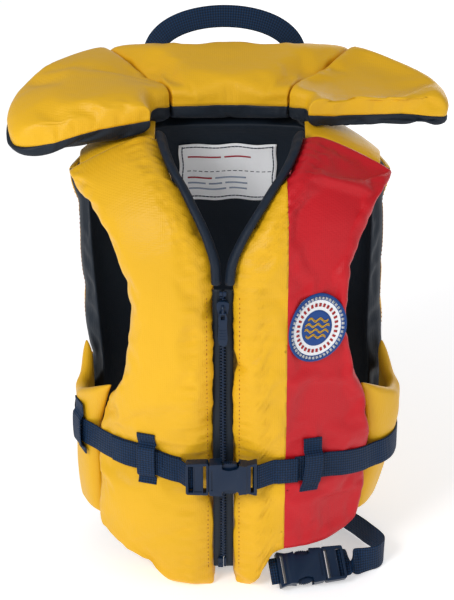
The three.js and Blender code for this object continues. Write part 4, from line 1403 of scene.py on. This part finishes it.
def make_label(surface):
    width, height = LABEL["width"], LABEL["height"]

    def on_lining(u, w, lift):
        x = LABEL["x"] + u + 0.5 * math.sin(w * 0.23)
        z = LABEL["z"] + w + 0.7 * math.sin(u * 0.16 + 0.5)
        found = surface.hit((x, -20, z), (0, 1, 0), 150)
        y = found[0][1] if found else 80.0
        return np.array([x, y - lift - 0.5 * (1 + math.sin(u * 0.21 + w * 0.11)), z])

    def patch(name, u0, u1, w0, w1, lift, thick, mat, step=3.0):
        columns, rows = max(1, int((u1 - u0) / step)), max(1, int((w1 - w0) / step))
        us, ws = np.linspace(u0, u1, columns + 1), np.linspace(w0, w1, rows + 1)
        front = np.array([[on_lining(u, w, lift + thick) for w in ws] for u in us])
        return plain_shell(name, front, front + np.array([0, thick, 0]), mat)

    sheet = patch("owner_label", -width / 2, width / 2, -height / 2, height / 2, 0.6, 0.5, "label", 2.5)
    trims = []
    edge_u, edge_w = width / 2 - 3.2, height / 2 - 3.2
    for w in (-edge_w, edge_w):
        for u in np.arange(-edge_u, edge_u, 3.4):
            trims.append(patch("dash", u, u + 3.0, w - 0.5, w + 0.5, 1.1, 0.25, "thread_navy"))
    for u in (-edge_u, edge_u):
        for w in np.arange(-edge_w, edge_w, 3.4):
            trims.append(patch("dash", u - 0.5, u + 0.5, w, w + 3.0, 1.1, 0.25, "thread_navy"))
    for u in np.arange(-edge_u + 4, edge_u - 4, 5.2):
        trims.append(patch("dash", u, u + 3.2, 0.2, 0.9, 1.1, 0.15, "thread_navy"))
    for row, w in enumerate((15, -6, -11.5, -17)):
        start = -36
        for length in ((30, 24), (22, 28), (16, 12, 20), (34, 16))[row]:
            ink = "print_red" if row == 0 or (row == 1 and start == -36) else "print"
            trims.append(patch("bar", start, min(start + length, 37), w - 0.8, w + 0.8, 1.1, 0.1, ink))
            start += length + 3
    attach(join("owner_label", [sheet] + trims), "vest", "label_cloth", "name_label")


def make_badge(surface):
    x, z, radius = BADGE["x"], BADGE["z"], BADGE["radius"]
    phi = float(front_face.angle(np.array(float(x)), z))
    row = front_face.row_at(z)
    middle = front_face.point(np.array(phi), row, 0.0)
    before, after = [front_face.point(np.array(phi + step), row, 0.0) for step in (-NUDGE, NUDGE)]
    tangent = unit(after - before)
    up = unit(np.array([0, 0, 1.0]) - tangent * tangent[2])
    normal = unit(np.cross(tangent, up))
    if normal[1] > 0:
        normal = -normal
    turn = math.radians(BADGE["turn"])
    c, s = math.cos(turn), math.sin(turn)
    tangent, up = (tangent * c - up * s) * BADGE["squeeze"], up * c + tangent * s

    def on_panel(r, a):
        at = middle + tangent * (r * math.cos(a)) + up * (r * math.sin(a))
        found = surface.hit(at + normal * 30, -normal, 60)
        return found[0] if found else at

    spots = [(r, a) for r in np.linspace(0, radius, 8) for a in np.linspace(0, 2 * math.pi, 25)[:-1]]
    uv = np.array([(r * math.cos(a), r * math.sin(a)) for r, a in spots])
    heights = np.array([(on_panel(r, a) - middle) @ normal for r, a in spots])

    def terms(u, v):
        return np.stack(np.broadcast_arrays(1.0, u, v, u * u, u * v, v * v), axis=-1)

    ground_fit = np.linalg.lstsq(terms(uv[:, 0], uv[:, 1]), heights, rcond=None)[0]
    ground_fit[0] += np.percentile(heights - terms(uv[:, 0], uv[:, 1]) @ ground_fit, 97)

    def smooth_panel(r, a, lift):
        """Like on_panel, but stiff: the badge bridges small puckers."""
        u, v = r * math.cos(a), r * math.sin(a)
        level = float(terms(u, v) @ ground_fit)
        return middle + tangent * u + up * v + normal * (level + lift)

    count = 96

    def rings(radii, lifts):
        points = []
        for r, lift in zip(radii, lifts):
            points += [smooth_panel(r, 2 * math.pi * k / count, lift) for k in range(count)]
        return points, ring_faces(len(radii), count)

    def fan(first, hub):
        return [(first + k, first + (k + 1) % count, hub) for k in range(count)]

    base_radii = [radius - 1.2, *np.linspace(radius - 1.6, 0.4, 12)]
    points, faces = rings(base_radii, [-2.5] + [1.7] * 12)
    last = len(points) - count
    points += [smooth_panel(0.0, 0.0, 1.7), smooth_panel(0.0, 0.0, -0.4)]
    faces += fan(last, len(points) - 2) + [(b, a, hub) for a, b, hub in fan(0, len(points) - 1)]
    base = recalc(mesh_object("badge_base", points, faces, "badge_white"))
    centre = radius * BADGE["centre"]
    blue_radii = [centre, *np.linspace(centre - 0.2, 0.4, 8)]
    points, faces = rings(blue_radii, [1.5] + [2.1] * 8)
    last = len(points) - count
    points.append(smooth_panel(0.0, 0.0, 2.1))
    faces += fan(last, len(points) - 1) + [tuple(range(count))[::-1]]
    blue = recalc(mesh_object("badge_blue", points, faces, "badge_blue"))
    band_radii = [radius * BADGE["band"], radius * BADGE["band"] + 0.2, radius - 1.6, radius - 1.3]
    points, faces = rings(band_radii, [1.5, 2.0, 2.0, 1.5])
    faces += [(3 * count + k, 3 * count + (k + 1) % count, (k + 1) % count, k) for k in range(count)]
    band = recalc(mesh_object("badge_band", points, faces, "badge_blue"))
    points = []
    turns, sides = 300, 8
    for k in range(turns):
        thread = 1.25 + (0.22 if k % 2 else -0.12)
        for c in range(sides):
            b = 2 * math.pi * c / sides
            r, lift = radius - 1.2 + thread * 1.25 * math.cos(b), 1.2 + thread * math.sin(b)
            points.append(smooth_panel(r, 2 * math.pi * k / turns, lift))
    edge = recalc(mesh_object("badge_rim", points, ring_faces(turns, sides, closed=True), "badge_blue"))
    waves = []
    for row, w in enumerate((7.5, 2.5, -2.5, -7.5)):
        half = math.sqrt(max((radius * 0.43) ** 2 - w * w, 1))
        stations = []
        for u in np.linspace(-half, half, 40):
            v = w + 1.3 * math.sin(u * 0.6 + row)
            r, a = math.hypot(u, v), math.atan2(v, u) % (2 * math.pi)
            stations.append((smooth_panel(r, a, 2.35), up, normal))
        waves.append(ribbon("badge_wave", stations, 2.2, 0.6, "badge_gold"))
    rows = (("badge_dot", 30, BADGE["dots"], 1.9, 1.0, 3.4, "badge_red"),
            ("badge_dash", 44, (BADGE["band"] + 0.95) / 2, 2.2, 1.1, 0.8, "badge_white"))
    for label, amount, at, lift, reach, width, mat in rows:
        for k in range(amount):
            a = 2 * math.pi * (k + 0.5) / amount
            way = unit(-tangent * math.sin(a) + up * math.cos(a))
            across = unit(tangent * math.cos(a) + up * math.sin(a))
            spot = smooth_panel(radius * at, a, lift)
            ends = [(spot + way * end, across, normal) for end in (-reach, reach)]
            waves.append(ribbon(label, ends, width, 0.5, mat))
    badge = join("badge_embroidery", [base, blue, band, edge] + waves)
    attach(badge, "vest", "badge", "badge_patch")


# ---------------------------------------------------------------- grab handle
HANDLE = dict(x=-5, span=136, rise=46, y=160, base=412, lean=0.9, thick=2.4)  # lean in radians


def make_handle():
    steps = 60
    at = []
    for k in range(steps + 1):
        angle = math.pi * k / steps
        x = HANDLE["x"] - HANDLE["span"] / 2 * math.cos(angle)
        at.append((x, HANDLE["y"], HANDLE["base"] + HANDLE["rise"] * math.sin(angle) ** 0.8))
    lean = HANDLE["lean"]
    stations = []
    for point, along in zip(np.array(at), np.gradient(np.array(at), axis=0)):
        t = unit(along)
        side = math.cos(lean) * np.array([0, 1.0, 0]) + math.sin(lean) * np.cross(t, (0, 1, 0))
        stations.append((point, side, np.cross(t, side)))
    strap = ribbon("handle_webbing", refine(stations, 1.2), WEB_WIDTH - 3, HANDLE["thick"])
    attach(strap, "handle", "navy_webbing", "grab_handle")


def make_handle_tab(name, side):
    """The sewn-in end of the handle's webbing, from inside the back pillow to under the handle's foot."""
    x = HANDLE["x"] + side * HANDLE["span"] / 2
    depths = np.linspace(HANDLE["y"] - 22, HANDLE["y"] + 7, 12)
    drop = 5 * (1 - smooth(depths, HANDLE["y"] - 20, HANDLE["y"] - 6))
    stations = [((x, y, HANDLE["base"] - 1.3 + up), (1, 0, 0), (0, 0, 1)) for y, up in zip(depths, drop)]
    tab = ribbon(f"handle_tab_{name}", refine(stations, 1.2), WEB_WIDTH, HANDLE["thick"])
    attach(tab, "collar_back", "navy_webbing")


# ---------------------------------------------------------------- camera and light
def aim(obj, target):
    direction = Vector(target) - obj.location
    obj.rotation_euler = direction.to_track_quat("-Z", "Y").to_euler()


CAMERA = dict(lens=106.7, elevation=math.radians(26), distance=1600, look_at=(0, 0, 215))


def make_camera():
    data = bpy.data.cameras.new("camera")
    data.sensor_fit = "VERTICAL"
    data.sensor_height = 36
    data.lens = CAMERA["lens"]
    data.shift_x = -0.005
    data.shift_y = 0.049
    camera = link("camera", data)
    elevation = CAMERA["elevation"]
    target = np.array(CAMERA["look_at"], float)
    eye = target + CAMERA["distance"] * np.array([0, -math.cos(elevation), math.sin(elevation)])
    camera.location = to_row(eye)
    aim(camera, to_row(target))
    bpy.context.scene.camera = camera


def area_light(name, place, target, size, power):
    data = bpy.data.lights.new(name, "AREA")
    data.shape = "RECTANGLE"
    data.size, data.size_y = size
    data.energy = power
    lamp = link(name, data)
    lamp.location = place
    aim(lamp, target)


def make_studio():
    floor_mat, tree, shader = material("studio_floor")
    shader.inputs["Roughness"].default_value = 0.8
    shader.inputs["Emission Color"].default_value = (1, 1, 1, 1)
    shader.inputs["Emission Strength"].default_value = 0.44
    paper = tinted(tree, (0.93, 0.93, 0.94), shade_noise(tree, 1.5, 0.985, 1.0))
    tree.links.new(paper, shader.inputs["Base Color"])
    mesh = bpy.data.meshes.new("floor")
    half = 6
    corners = [(-half, -half, 0), (half, -half, 0), (half, half, 0), (-half, half, 0)]
    mesh.from_pydata(corners, [], [(0, 1, 2, 3)])
    mesh.materials.append(floor_mat)
    link("floor", mesh)
    world = bpy.data.worlds.new("studio")
    world.use_nodes = True
    background = world.node_tree.nodes["Background"]
    background.inputs["Color"].default_value = (0.97, 0.98, 1.0, 1)
    background.inputs["Strength"].default_value = 0.42
    bpy.context.scene.world = world
    bpy.context.scene.view_settings.view_transform = "Standard"
    middle = (0, 0, 0.24)
    area_light("key", (-1.1, -1.5, 1.5), middle, (0.8, 0.8), 25)
    area_light("fill", (1.6, -1.4, 0.8), middle, (1.2, 1.2), 5)
    area_light("back", (0.9, 2.0, 0.7), middle, (1.2, 1.0), 12)


make_camera()
make_studio()
front_left, front_right = [make_front(side) for _, side in SIDES]
back = make_back()
make_collar()
gussets = [make_gusset(name, side) for name, side in SIDES]
for name, side in SIDES:
    make_shoulder(name, side)
    make_binding(name, side)

outside = Surface(front_left["yellow"], front_left["red"], front_right["yellow"], back["yellow"], *gussets)
make_stitching(outside)
make_zipper()
make_belt(outside)
make_keeper("keeper_front_right", turn_at(-72), 17, 7.2, outside)
make_keeper("keeper_front_left", turn_at(72), 17, 5.0, outside)
make_keeper("keeper_side_right", turn_at(-134), 19, 5.0, outside)
make_keeper("keeper_back", math.pi * 0.999, 19, 4.4, outside)
waist_bodies = ("vest", "waist_socket", "waist_prong_up", "waist_prong_low")
make_buckle("waist", placing((0, waist_y(), BELT_Z)), waist_bodies, 1)
make_crotch_strap()
make_label(Surface(back["lining"]))
make_badge(outside)
make_handle()
for name, side in SIDES:
    make_handle_tab(name, side)
